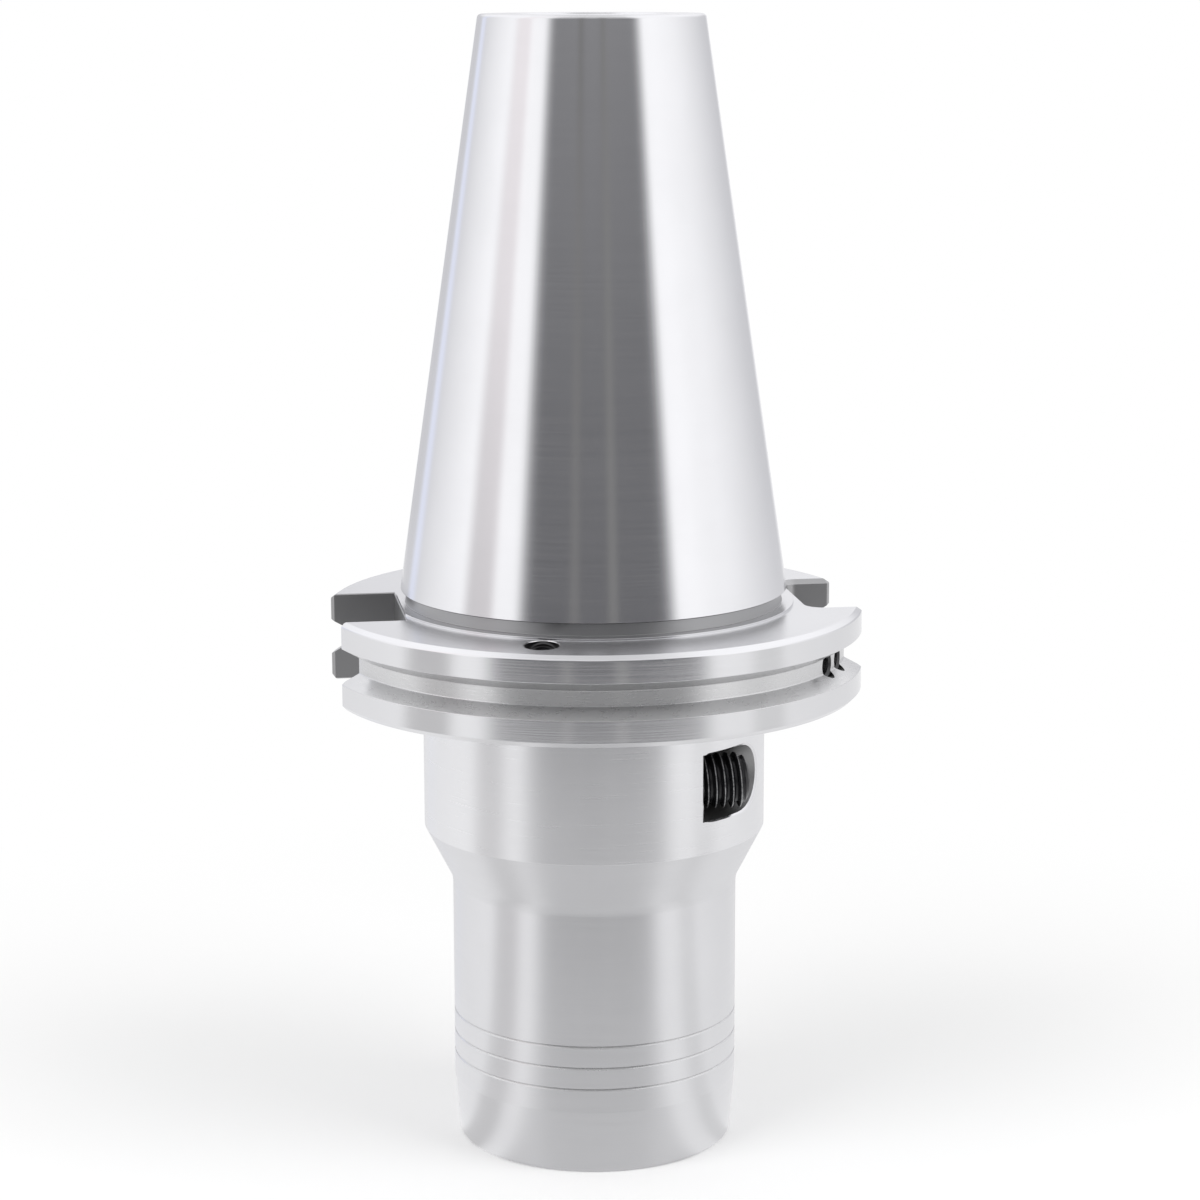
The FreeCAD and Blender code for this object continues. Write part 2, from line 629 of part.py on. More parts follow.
def make_sleeve():
    """Thin expansion sleeve with two ring chambers and a slot that links them."""
    body = new_body("expansion_sleeve")
    inner = "Sizes.tool_bore_dia / 2"
    outer = "Sizes.sleeve_dia / 2"
    turn(body, "Tube", [
        (f"{inner} + Sizes.tool_bore_chamfer", "0"),
        (outer, "0"),
        (outer, "Sizes.sleeve_length"),
        (inner, "Sizes.sleeve_length"),
        (inner, "Sizes.tool_bore_chamfer")])
    for name, bottom in (("LowerChamber", "Sizes.lower_chamber_height"),
                         ("UpperChamber", "Sizes.upper_chamber_height")):
        turn_away(body, name, [
            (CHAMBER_RADIUS, bottom),
            (f"{outer} + {OVERCUT}", bottom),
            (f"{outer} + {OVERCUT}", f"{bottom} + Sizes.chamber_length"),
            (CHAMBER_RADIUS, f"{bottom} + Sizes.chamber_length")])
    link = new_sketch(body, "LinkOutline", "XY_Plane", "Sizes.lower_chamber_height")
    half = "(Sizes.chamber_link_width / 2)"
    draw_outline(link, [
        (CHAMBER_RADIUS, f"-{half}"),
        (f"{outer} + {OVERCUT}", f"-{half}"),
        (f"{outer} + {OVERCUT}", half),
        (CHAMBER_RADIUS, half)])
    pocket(body, "ChamberLink", link, "Sizes.upper_chamber_height - Sizes.lower_chamber_height",
           forward=True)
    return body


def cut_socket(body, name, width, depth, height):
    """Hexagon socket sunk from a height on the piece's own axis."""
    sketch = new_sketch(body, f"{name}Outline", "XY_Plane", height)
    draw_hexagon(sketch, width)
    pocket(body, name, sketch, depth)


def lay_along_x(body, start):
    """Turn a piece modelled along Z to lie on the clamping line, its foot at start."""
    body.setExpression(
        "Placement",
        f"placement(vector({start}; -Sizes.screw_offset; Sizes.screw_height); "
        "rotation(vector(0; 1; 0); 90))")


def make_clamping_screw():
    """Socket set screw, flat at the piston and chamfered at both ends."""
    body = new_body("clamping_screw")
    radius = "(Sizes.screw_dia / 2 - Sizes.thread_clearance)"
    turn(body, "Shank", [
        ("0", "0"),
        (f"{radius} - Sizes.screw_chamfer", "0"),
        (radius, "Sizes.screw_chamfer"),
        (radius, "Sizes.screw_length - Sizes.screw_chamfer"),
        (f"{radius} - Sizes.screw_chamfer", "Sizes.screw_length"),
        ("0", "Sizes.screw_length")])
    cut_socket(body, "Socket", "Sizes.screw_socket_width", "Sizes.screw_socket_depth",
               "Sizes.screw_length")
    lay_along_x(body, SCREW_INNER)
    return body


def make_piston():
    """Pressure piston with the groove for its seal and backup ring."""
    body = new_body("pressure_piston")
    radius = "(Sizes.piston_dia / 2 - Sizes.running_clearance)"
    floor = f"({radius} - Sizes.piston_seal_section)"
    turn(body, "Pin", [
        ("0", "0"),
        (f"{radius} - Sizes.piston_chamfer", "0"),
        (radius, "Sizes.piston_chamfer"),
        (radius, "Sizes.piston_length - Sizes.piston_chamfer"),
        (f"{radius} - Sizes.piston_chamfer", "Sizes.piston_length"),
        ("0", "Sizes.piston_length")])
    turn_away(body, "SealGroove", [
        (floor, "Sizes.piston_seal_setback"),
        (f"{radius} + {OVERCUT}", "Sizes.piston_seal_setback"),
        (f"{radius} + {OVERCUT}", "Sizes.piston_seal_setback + Sizes.piston_seal_groove_width"),
        (floor, "Sizes.piston_seal_setback + Sizes.piston_seal_groove_width")])
    lay_along_x(body, PISTON_INNER)
    return body


def make_ring(name, radius, section, placement):
    """Round-section seal ring about the Z of its placement, all given as expressions."""
    ring = doc.addObject("Part::Torus", name)
    ring.Label = name
    ring.setExpression("Radius1", radius)
    ring.setExpression("Radius2", f"{section} / 2")
    ring.setExpression("Placement", placement)
    return ring


def make_piston_seal():
    """Seal ring on the pressure side of the piston's groove."""
    centre = (f"{PISTON_INNER} + Sizes.piston_seal_setback + Sizes.piston_seal_section / 2")
    radius = ("Sizes.piston_dia / 2 - Sizes.running_clearance - Sizes.piston_seal_section / 2")
    return make_ring(
        "piston_seal", radius, "Sizes.piston_seal_section",
        f"placement(vector({centre}; -Sizes.screw_offset; Sizes.screw_height); "
        "rotation(vector(0; 1; 0); 90))")


def make_backup_ring():
    """Flat ring behind the seal that keeps it out of the running gap."""
    body = new_body("piston_backup_ring")
    outer = "(Sizes.piston_dia / 2 - Sizes.running_clearance)"
    inner = f"({outer} - Sizes.piston_seal_section)"
    turn(body, "Ring", [
        (inner, "0"),
        (outer, "0"),
        (outer, "Sizes.backup_ring_width"),
        (inner, "Sizes.backup_ring_width")])
    lay_along_x(body, f"({PISTON_INNER} + Sizes.piston_seal_setback"
                      " + Sizes.piston_seal_groove_width - Sizes.backup_ring_width)")
    return body


def make_set_screw(name, diameter, placement):
    """Short socket set screw with its socket at the far end of its own Z."""
    body = new_body(name)
    radius = f"({diameter} / 2 - Sizes.thread_clearance)"
    turn(body, "Shank", [
        ("0", "0"),
        (f"{radius} - Sizes.plug_chamfer", "0"),
        (radius, "Sizes.plug_chamfer"),
        (radius, "Sizes.plug_length - Sizes.plug_chamfer"),
        (f"{radius} - Sizes.plug_chamfer", "Sizes.plug_length"),
        ("0", "Sizes.plug_length")])
    cut_socket(body, "Socket", "Sizes.plug_socket_width", "Sizes.plug_socket_depth",
               "Sizes.plug_length")
    body.setExpression("Placement", placement)
    return body


def make_filling_pieces():
    """Ball on the seat of the filling port and the screw that holds it."""
    ball_gap = "sqrt((Sizes.ball_dia / 2)^2 - (Sizes.oil_duct_dia / 2)^2)"
    ball_reach = f"({PORT_FLOOR} + {ball_gap})"
    ball = doc.addObject("Part::Sphere", "bleed_ball")
    ball.Label = "bleed_ball"
    ball.setExpression("Radius", "Sizes.ball_dia / 2")
    across, along = polar(ball_reach, "Sizes.port_azimuth")
    ball.setExpression("Placement",
                       f"placement(vector({across}; {along}; Sizes.port_height); "
                       "rotation(vector(0; 0; 1); 0))")
    foot = polar(f"({ball_reach} + Sizes.ball_dia / 2)", "Sizes.port_azimuth")
    screw = make_set_screw(
        "bleed_screw", "Sizes.port_thread_dia",
        f"placement(vector({foot[0]}; {foot[1]}; Sizes.port_height); "
        "rotation(vector(0; 0; 1); Sizes.port_azimuth) * rotation(vector(0; 1; 0); 90))")
    return ball, screw


def make_coolant_plugs():
    """Set screws that close the coolant ports in the flange face."""
    plugs = []
    for number, azimuth in enumerate(COOLANT_AZIMUTHS, start=1):
        deep, mouth = coolant_line(azimuth)
        foot = point_on(mouth, deep, "(Sizes.coolant_plug_recess + Sizes.plug_length)")
        plugs.append(make_set_screw(f"coolant_plug_{number}", "Sizes.coolant_port_dia",
                                    aimed(foot, deep, mouth)))
    return plugs


def make_adjuster():
    """Length-adjusting screw: threaded stop, sealed spigot and a coolant hole through both."""
    body = new_body("length_adjusting_screw")
    thread = "(Sizes.adjuster_thread_dia / 2 - Sizes.thread_clearance)"
    spigot = "(Sizes.adjuster_spigot_dia / 2 - Sizes.running_clearance)"
    duct = "Sizes.adjuster_duct_dia / 2"
    foot = ADJUSTER_TIP
    turn(body, "Stop", [
        (duct, foot),
        (f"{thread} - Sizes.adjuster_chamfer", foot),
        (thread, f"{foot} + Sizes.adjuster_chamfer"),
        (thread, f"{ADJUSTER_SHOULDER} - Sizes.adjuster_chamfer"),
        (spigot, ADJUSTER_SHOULDER),
        (spigot, f"{ADJUSTER_TOP} - Sizes.adjuster_chamfer"),
        (f"{spigot} - Sizes.adjuster_chamfer", ADJUSTER_TOP),
        (duct, ADJUSTER_TOP)])
    groove_radius = f"({spigot} - Sizes.adjuster_seal_section)"
    turn_away(body, "SealGroove", [
        (groove_radius, SEAL_GROOVE_FLOOR),
        (f"{spigot} + {OVERCUT}", SEAL_GROOVE_FLOOR),
        (f"{spigot} + {OVERCUT}", SEAL_GROOVE_TOP),
        (groove_radius, SEAL_GROOVE_TOP)])
    sketch = new_sketch(body, "SocketOutline", "XY_Plane", foot)
    draw_hexagon(sketch, "Sizes.adjuster_socket_width")
    pocket(body, "Socket", sketch, "Sizes.adjuster_socket_depth", forward=True)
    middle = f"({SEAL_GROOVE_FLOOR} + {SEAL_GROOVE_TOP}) / 2"
    seal = make_ring("length_screw_seal", f"{spigot} - Sizes.adjuster_seal_section / 2",
                     "Sizes.adjuster_seal_section",
                     f"placement(vector(0; 0; {middle}); rotation(vector(0; 0; 1); 0))")
    return body, seal


def check_and_write(pieces):
    """Refuse a failed feature or an unsound solid, then write one file for each piece."""
    doc.recompute()
    for item in doc.Objects:
        if "Invalid" in item.State or "Error" in item.State:
            raise RuntimeError(f"{item.Label} failed: {item.State}")
    for piece in pieces:
        if piece.Shape.isNull() or not piece.Shape.isValid() or len(piece.Shape.Solids) != 1:
            raise RuntimeError(f"{piece.Label} is not one sound solid")
    os.makedirs("parts", exist_ok=True)
    for piece in pieces:
        piece.Shape.exportStep(os.path.join("parts", f"{piece.Label}.step"))
        print(f"{piece.Label}: {piece.Shape.Volume:.1f} mm3")


def main():
    """Make every piece of the chuck and write it."""
    pieces = [make_holder(), make_sleeve(), make_clamping_screw(), make_piston(),
              make_piston_seal(), make_backup_ring()]
    pieces.extend(make_filling_pieces())
    pieces.extend(make_coolant_plugs())
    pieces.extend(make_adjuster())
    check_and_write(pieces)


main()
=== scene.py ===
"""Looks of a hydraulic chuck with a 50-size steep-taper shank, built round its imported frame.

Everything is in metres in the frame of the part: origin at the centre of the nose face,
+Z along the axis towards the taper. Meshes are drawn in their final place.
"""
import math

import bmesh
import bpy
import numpy as np
from bpy.props import FloatProperty, FloatVectorProperty, IntProperty, PointerProperty
from mathutils import Matrix, Vector


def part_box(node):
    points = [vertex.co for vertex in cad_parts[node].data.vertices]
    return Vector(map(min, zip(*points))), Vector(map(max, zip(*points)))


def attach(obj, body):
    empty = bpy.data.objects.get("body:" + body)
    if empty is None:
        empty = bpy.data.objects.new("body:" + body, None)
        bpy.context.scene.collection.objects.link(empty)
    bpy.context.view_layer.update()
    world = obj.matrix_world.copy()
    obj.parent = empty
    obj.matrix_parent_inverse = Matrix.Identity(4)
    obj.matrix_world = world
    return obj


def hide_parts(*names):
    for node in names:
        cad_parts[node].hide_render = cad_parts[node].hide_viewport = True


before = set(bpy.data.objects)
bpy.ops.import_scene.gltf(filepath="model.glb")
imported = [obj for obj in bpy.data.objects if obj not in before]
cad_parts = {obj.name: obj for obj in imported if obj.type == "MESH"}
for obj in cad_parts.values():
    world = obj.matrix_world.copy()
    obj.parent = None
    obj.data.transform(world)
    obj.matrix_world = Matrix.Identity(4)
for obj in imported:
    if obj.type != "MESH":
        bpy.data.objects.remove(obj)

bl_info = {
    "name": "Hydraulic chuck",
    "version": (1, 0, 0),
    "blender": (4, 5, 0),
    "location": "3D View > Sidebar > Chuck",
    "description": "Builds the turned, ground and threaded pieces of a hydraulic chuck and its studio",
    "category": "Add Mesh",
}

MM = 0.001
HOLDER_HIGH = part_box("holder_body")[1]
SLEEVE_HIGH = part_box("expansion_sleeve")[1]
SCREW_LOW, SCREW_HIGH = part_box("clamping_screw")
STOP_LOW, STOP_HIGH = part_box("length_adjusting_screw")
PORT_SCREW_LOW, PORT_SCREW_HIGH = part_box("bleed_screw")

# Radial depth of a screw's thread and of a tapped one, in pitches, and one turn of a thread:
# place along it and height over its root, both in pitches.
THREAD_DEPTH, TAPPING_DEPTH = 0.6134, 0.5413
THREAD_SHAPE = ((0.0, THREAD_DEPTH), (0.10, THREAD_DEPTH), (0.42, 0.02), (0.48, 0.0),
                (0.62, 0.0), (0.68, 0.02))
DRILL_POINT = 0.6  # depth of a drill's point over its radius

# Reach of cutters past the surface they cut, overlap of two that meet, and swell of the cutter
# for a coolant port's edge at its foot, which stays inside the port.
BEYOND, COOLANT_REACH, SHORT_REACH, OVERLAP = 2 * MM, 3 * MM, 0.2 * MM, 0.1 * MM
RIM_FOOT = -0.02 * MM
# Chamfers of the taps' ends, widening of a hole's mouth over its thread, on the radius, and
# height of a tap's end over the mouth of its port.
TAP_LEAD, SCREW_TAP_LEAD, STUD_TAP_LEAD = 0.2 * MM, 0.3 * MM, 0.5 * MM
STUD_MOUTH, SCREW_MOUTH, PORT_MOUTH, TAP_RISE = 0.1 * MM, 0.15 * MM, 0.2 * MM, 0.3 * MM
# Roundings of edges and inner corners, from the finest to the softest.
TAPER_EDGE, RING_EDGE, RING_FLOOR, SEAT_EDGE = 0.03 * MM, 0.05 * MM, 0.06 * MM, 0.08 * MM
BROKEN_EDGE, FLANGE_EDGE, BORE_EDGE = 0.1 * MM, 0.12 * MM, 0.15 * MM
COOLANT_BORE_EDGE, BODY_EDGE, INNER_CORNER = 0.2 * MM, 0.25 * MM, 0.3 * MM
# Chamfer of the adjuster's thread, overlap of the slot between the oil chambers with each of
# them, length of the spigot inside the length screw and start of the stud's thread.
RELIEF_LEAD, LINK_OVERLAP, SPIGOT_ROOT, STUD_START = 0.5 * MM, 0.5 * MM, 3 * MM, 3 * MM
# Chamfer round a hexagon socket, steel left between its corners and the drilled point, length
# of one piece of the pocket's outline and least step between its floor and its broken edge.
SOCKET_LEAD, SOCKET_WALL, POCKET_PIECE, WALL_STEP = 0.25 * MM, 0.08 * MM, 1.2 * MM, 0.05 * MM

# Flat sides of round meshes.
HOLDER_SIDES, SLEEVE_SIDES, STUD_SIDES, FLOOR_SIDES = 240, 144, 96, 96
SCREW_SIDES, SCREW_TAP_SIDES, SMALL_SIDES, CUTTER_SIDES = 72, 56, 48, 40
SOCKET_SIDES, COOLANT_SIDES, OIL_SIDES = 36, 28, 20
# Largest turn of one piece of a rounding, and between two faces that are shaded as one.
STEP_ANGLE, SMOOTH_ANGLE = math.radians(12), math.radians(28)
# Lengths that count as none, as they are and where a thread's points are merged.
TOUCHING, MERGING = 1e-9, 1e-8
LEAST_FACING = 0.3  # cosine between a face and its outline's normal, for which that is used
LEAST_LEFT = 0.25  # share of a piece's faces that a cut has to leave

# Placement with Z along +X and X along +Y.
SIDEWAYS = Matrix(((0, 0, 1, 0), (1, 0, 0, 0), (0, 1, 0, 0), (0, 0, 0, 1)))

WHITE = (1.0, 1.0, 1.0, 1.0)
RISE, FALL = (0.0, 1.0), (1.0, 0.0)
# Values between which noises for clouds, marks, grain and specks vary, and the lighter part
# of a thread's crest, partly worn and partly a painted highlight.
CLOUDS, MARKS, GRAIN, SPECKS, CREST = (0.35, 0.65), (0.25, 0.75), (0.3, 0.7), (0.35, 0.6), (0.9, 1.0)
CLOUD_SCALE, SPECK_SCALE, GRAIN_DEPTH = 60.0, 2600.0, 0.05 * MM
CLOUD_SHADE, GRAIN_SHADE = 0.975, 0.9  # darker colour of clouds and of a grain, over the lighter
# least share of the crests' lighter colour among the specks, a colour that is partly wear and partly a
# painted highlight
LEAST_WEAR_AND_HIGHLIGHT, OXIDE_ROUGHNESS = 0.3, (0.26, 0.36)
FLOOR_LEVEL = -0.02 * MM
# the floor's painted reflection, the glow that polished metal sees on it, looks up the studio's panels
# in this tilted direction
FLOOR_MIRROR = (0.0, 0.0, -1.7)  # turns the way outwards down, for what the floor mirrors
HALF_TURN = 180.0  # in degrees, as the panels' azimuths
SENSOR_WIDTH, CLIP_START = 36.0, 0.01
# Soft lamps: name, bearing, distance and height. All have one size.
LAMPS = (("key_lamp", math.radians(-35), 0.75, 0.75), ("fill_lamp", math.radians(-150), 0.75, 0.65))
LAMP_SIZE = 0.6


def number(name, default, description, **options):
    """Number that a user may change."""
    return FloatProperty(name=name, description=description, default=default, **options)


def length(name, millimetres, description):
    """Length that a user may change, its default in millimetres."""
    return number(name, millimetres * MM, description, min=0.0, precision=5, unit="LENGTH")


def angle(name, degrees, description):
    """Angle that a user may change, its default in degrees."""
    return number(name, math.radians(degrees), description, unit="ROTATION")


def colour(name, default, description):
    """Colour that a user may change, linear."""
    return FloatVectorProperty(name=name, description=description, default=default, size=3,
                               min=0.0, max=1.0, subtype="COLOR")


class ShankSizes(bpy.types.PropertyGroup):
    """Sizes of the taper shank and its drawbar end."""

    height: length("Height", HOLDER_HIGH.z / MM, "Small end of the taper above the nose face")
    gauge_height: length("Gauge height", 103.5, "Gauge line above the nose face")
    gauge_diameter: length("Gauge diameter", 69.85, "Taper diameter at the gauge line")
    taper: number("Taper", 7 / 24, "Change of diameter per length")
    end_radius: length("End radius", 0.8, "Rounding of the small end")
    overrun: length("Overrun", 0.5, "Taper surface below the gauge line")
    edge: length("Edge", 0.14, "Broken edge of the large end")
    neck_diameter: length("Neck", 68.2, "Relief between taper and flange")
    neck_root: length("Neck root", 0.15, "Fillet at the foot of the neck")
    collar_diameter: length("Collar", 72.6, "Low step on the flange face")
    collar_height: length("Collar height", 0.4, "Height of the step")
    pilot_diameter: length("Pilot", 25, "Centring bore of the pull stud")
    pilot_depth: length("Pilot depth", 11.5, "Depth of the centring bore")
    pilot_chamfer: length("Pilot chamfer", 0.8, "Lead-in of the centring bore")
    stud_diameter: length("Stud thread", 24, "Thread of the pull stud")
    stud_pitch: length("Stud pitch", 3, "Pitch of the pull stud's thread")
    stud_depth: length("Stud depth", 46, "End of the thread below the small end")
    coolant_bore: length("Coolant bore", 10, "Through bore along the axis")


class FlangeSizes(bpy.types.PropertyGroup):
    """Sizes of the flange, its gripper groove and its keyways."""

    diameter: length("Diameter", 2 * HOLDER_HIGH.y / MM, "Outside of the flange")
    face_drop: length("Face drop", 3.2, "Flange face below the gauge line")
    thickness: length("Thickness", 15.9, "Flange between its two faces")
    rim_width: length("Rim width", 1, "Upper chamfer, across")
    rim_height: length("Rim height", 0.7, "Upper chamfer, down")
    rim_rounding: length("Rim rounding", 0.45, "Rounding under the upper chamfer")
    lower_chamfer: length("Lower chamfer", 0.9, "Chamfer under the flange")
    root_radius: length("Root radius", 2, "Fillet between flange and body")
    vee_drop: length("Groove drop", 11.1, "Middle of the gripper groove below the gauge line")
    vee_depth: length("Groove depth", 3.125, "Depth of the gripper groove")
    vee_floor: length("Groove floor", 2.8, "Width of the groove's floor")
    vee_angle: angle("Flank angle", 30, "Slope of the groove's flanks")
    keyway_width: length("Keyway width", 25.7, "Width of both keyways")
    keyway_mouth: length("Keyway mouth", 0.7, "Chamfer at the mouth of a keyway")
    shallow_edge: length("Shallow edge", 0.85, "Chamfer along the shallow keyway")
    deep_edge: length("Deep edge", 0.18, "Chamfer along the deep keyway")
    shallow_floor: length("Shallow keyway", 37.7, "Floor of the keyway on the +X side")
    shallow_radius: length("Cutter radius", 2.6, "Inner corners of the shallow keyway")
    deep_floor: length("Deep keyway", 35.3, "Floor of the keyway on the -X side")
    balance_diameter: length("Balance hole", 3.5, "Drilling in the groove's floor")
    balance_depth: length("Balance depth", 5, "Depth under the groove's floor")
    balance_rim: length("Balance rim", 0.45, "Countersink round a drilling")
    balance_azimuth: angle("Balance azimuth", -34, "First drilling, from +X")
    balance_step: angle("Balance step", 7.5, "From one drilling to the next")
    balance_count: IntProperty(name="Balance holes", description="Number of drillings", default=2)


class NoseSizes(bpy.types.PropertyGroup):
    """Sizes of the body, the cone, the nose and the bores in it."""

    body_diameter: length("Body", 62.4, "Cylinder under the flange")
    body_edge: length("Body edge", 59.1, "Lower edge of the body")
    cone_length: length("Cone", 9.9, "Height of the cone under the body")
    cone_root: length("Cone root", 5, "Fillet between cone and nose")
    diameter: length("Nose", 52.2, "Cylinder of the nose")
    tip_diameter: length("Tip", 50.3, "Diameter at the nose face")
    tip_taper: length("Tip taper", 11.6, "Height of the tapered tip")
    tip_edge: length("Tip edge", 0.8, "Rounding of the nose face")
    ring_height: length("First ring", 15.9, "Lowest ring groove")
    ring_pitch: length("Ring pitch", 4, "From one ring groove to the next")
    ring_count: IntProperty(name="Ring grooves", description="Number of grooves", default=3)
    ring_width: length("Ring width", 0.5, "Mouth of a ring groove")
    ring_depth: length("Ring depth", 0.25, "Depth of a ring groove")
    seat_diameter: length("Sleeve seat", 31, "Bore that holds the expansion sleeve")
    tool_bore: length("Tool bore", 25, "Bore of the expansion sleeve")
    tool_chamfer: length("Tool chamfer", 0.8, "Lead-in of the tool bore")
    chamber_depth: length("Chamber depth", 1.5, "Oil chamber in the sleeve's outside")
    chamber_length: length("Chamber length", 18, "Height of one oil chamber")
    lower_chamber: length("Lower chamber", 7, "Foot of the lower chamber")
    upper_chamber: length("Upper chamber", 31, "Foot of the upper chamber")
    chamber_link: length("Chamber link", 4, "Slot between the chambers")
    relief_length: length("Relief", 4, "Space behind the sleeve")
    relief_diameter: length("Relief diameter", 25.8, "Width of that space")


class ScrewSizes(bpy.types.PropertyGroup):
    """Sizes of the screws, their holes and the oil line."""

    height: length("Clamping height", 71.1, "Axis of the clamping screw")
    offset: length("Clamping offset", 21, "Clamping screw from the chuck's axis")
    pocket_radius: length("Pocket radius", 6.1, "Milled pocket round the screw")
    pocket_wall: length("Pocket wall", 15.6, "Flat wall of the pocket")
    pocket_edge: length("Pocket edge", 0.25, "Broken edge of the pocket")
    diameter: length("Clamping screw", 10, "Thread of the clamping screw")
    pitch: length("Clamping pitch", 1.5, "Pitch of the clamping screw")
    chamfer: length("Clamping chamfer", 1.1, "Chamfer of the clamping screw, along")
    chamfer_drop: length("Chamfer drop", 1.6, "Chamfer of the clamping screw, across")
    socket: length("Clamping socket", 5, "Hexagon of the clamping screw")
    socket_depth: length("Socket depth", 6, "Depth of that hexagon")
    hole_end: length("Hole end", 3.5, "Where the tapped hole meets the piston bore")
    piston_bore: length("Piston bore", 8, "Bore of the pressure piston")
    piston_bore_length: length("Piston bore length", 10.2, "Length of that bore")
    oil_duct: length("Oil duct", 2, "Drillings that carry the oil")
    oil_height: length("Oil height", 44, "Where the drillings meet the chamber")
    port_azimuth: angle("Port azimuth", 150, "Filling port, from +X")
    port_height: length("Port height", 66, "Filling port above the nose face")
    port_depth: length("Port depth", 9.8, "Tapped depth of the filling port")
    port_seat: length("Port seat", 4, "Drilling under the filling port")
    small_diameter: length("Small thread", 6, "Thread of the port screws")
    small_pitch: length("Small pitch", 1, "Pitch of the port screws")
    small_length: length("Small length", 5, "Length of the port screws")
    small_chamfer: length("Small chamfer", 0.5, "Ends of the port screws")
    small_socket: length("Small socket", 3, "Hexagon of the port screws")
    small_socket_depth: length("Small socket depth", 2.5, "Depth of that hexagon")
    coolant_radius: length("Coolant radius", 40.4, "Coolant ports from the axis")
    coolant_azimuth: angle("Coolant azimuth", -111, "First coolant port, from +X")
    coolant_depth: length("Coolant depth", 9, "Tapped depth of a coolant port")
    coolant_mouth: length("Coolant mouth", 2.6, "Plain mouth above a port's thread")
    coolant_edge: length("Coolant edge", 0.15, "Broken edge of a coolant port")
    coolant_recess: length("Coolant recess", 3.4, "Plug below the flange face")
    coolant_duct: length("Coolant duct", 4, "Slanting drilling to the tool")
    coolant_swing: angle("Coolant swing", 30, "Turn of the drilling round the axis")
    stop_diameter: length("Stop thread", 16, "Thread of the length screw")
    stop_pitch: length("Stop pitch", 1, "Pitch of the length screw")
    stop_shoulder: length("Stop shoulder", 79, "End of the length screw's thread")
    stop_chamfer: length("Stop chamfer", 0.8, "Ends of the length screw")
    stop_bore_step: length("Bore step", 79.3, "Step between the stop's two bores")
    stop_bore_end: length("Bore end", 94.9, "End of the spigot's bore")
    spigot_diameter: length("Spigot", 14, "Sealed end of the length screw")
    stop_socket: length("Stop socket", 8, "Hexagon of the length screw")
    stop_socket_depth: length("Stop socket depth", 6, "Depth of that hexagon")
    stop_duct: length("Stop duct", 5, "Coolant hole in the length screw")
    seal_groove: length("Seal groove", 1.8, "Width of the seal's groove")
    seal_depth: length("Seal depth", 1.3, "Depth of the seal's groove")
    seal_setback: length("Seal setback", 1.2, "Groove from the screw's end")
    clearance: length("Thread clearance", 0.05, "Screw inside its thread, on the radius")
    running: length("Running clearance", 0.03, "Spigot inside its bore, on the radius")


class FinishColours(bpy.types.PropertyGroup):
    """Colours of the materials, linear."""

    steel: colour("Steel", (0.70, 0.70, 0.715), "Bare machined steel")
    body: colour("Body steel", (0.76, 0.76, 0.775), "Finely turned body under the flange")
    # milled and pocket steel are darker than bare steel, partly for their duller finish and partly as
    # painted shade of the keyways, drillings, pocket and neck
    milled: colour("Milled steel", (0.39, 0.39, 0.395), "Milled walls and drillings")
    grooved: colour("Grooved steel", (0.62, 0.62, 0.625), "Coarsely turned gripper groove")
    pocket: colour("Pocket steel", (0.37, 0.37, 0.372), "Walls of the clamping screw's pocket")
    # port steel is painted shade: near black, it darkens the coolant ports, the countersinks of the
    # balance drillings and the thin edge under the taper's large end
    port: colour("Port steel", (0.07, 0.07, 0.072), "Shaded threads of the coolant ports")
    bore: colour("Bore steel", (0.60, 0.60, 0.605), "Ground bores")
    oxide: colour("Black oxide", (0.012, 0.012, 0.014), "Blackened screws")
    # colour of the thread crests: partly rubbed wear of the oxide, partly a painted highlight
    rubbed_and_highlit: colour("Rubbed oxide", (0.34, 0.34, 0.345), "Blackened thread crests")
    rubber: colour("Rubber", (0.014, 0.014, 0.015), "Seal rings")
    plastic: colour("Backup ring", (0.72, 0.70, 0.64), "Plastic backup ring")
    ball: colour("Ball steel", (0.82, 0.82, 0.83), "Polished ball")
    floor: colour("Floor", (0.97, 0.97, 0.97), "Pale studio floor")


class StudioSettings(bpy.types.PropertyGroup):
    """Places of the camera and the lamps."""

    distance: length("Camera distance", 563.7, "Level distance from the axis")
    height: length("Camera height", 212.4, "Height above the nose face")
    bearing: angle("Camera bearing", 8.43, "Turn of the camera's place round the axis")
    heading: angle("Camera heading", 8.55, "Direction of view, from +Y")
    pitch: angle("Camera pitch", 11.25, "Downward tilt")
    roll: angle("Camera roll", -0.14, "Turn about the line of sight")
    lens: number("Lens", 94.76, "Focal length", unit="CAMERA")
    floor_radius: length("Floor radius", 700, "Round floor under the chuck")
    floor_front: length("Floor front", 385, "Straight front edge of the floor from the axis")
    fade_start: length("Fade start", 75, "Where the floor starts to fade to white")
    fade_end: length("Fade end", 240, "Where the floor is plain white")
    # brightness of the floor's painted reflection and the share of the studio's panels in it
    floor_white: number("Floor white", 0.93, "Brightness of the floor as metal mirrors it")
    floor_gloss: number("Floor gloss", 0.41, "Share of the studio's panels in that brightness")
    daylight: number("Daylight", 0.72, "Plain light from all round")
    lamp_power: number("Lamps", 3.2, "Power of one soft lamp", unit="POWER")


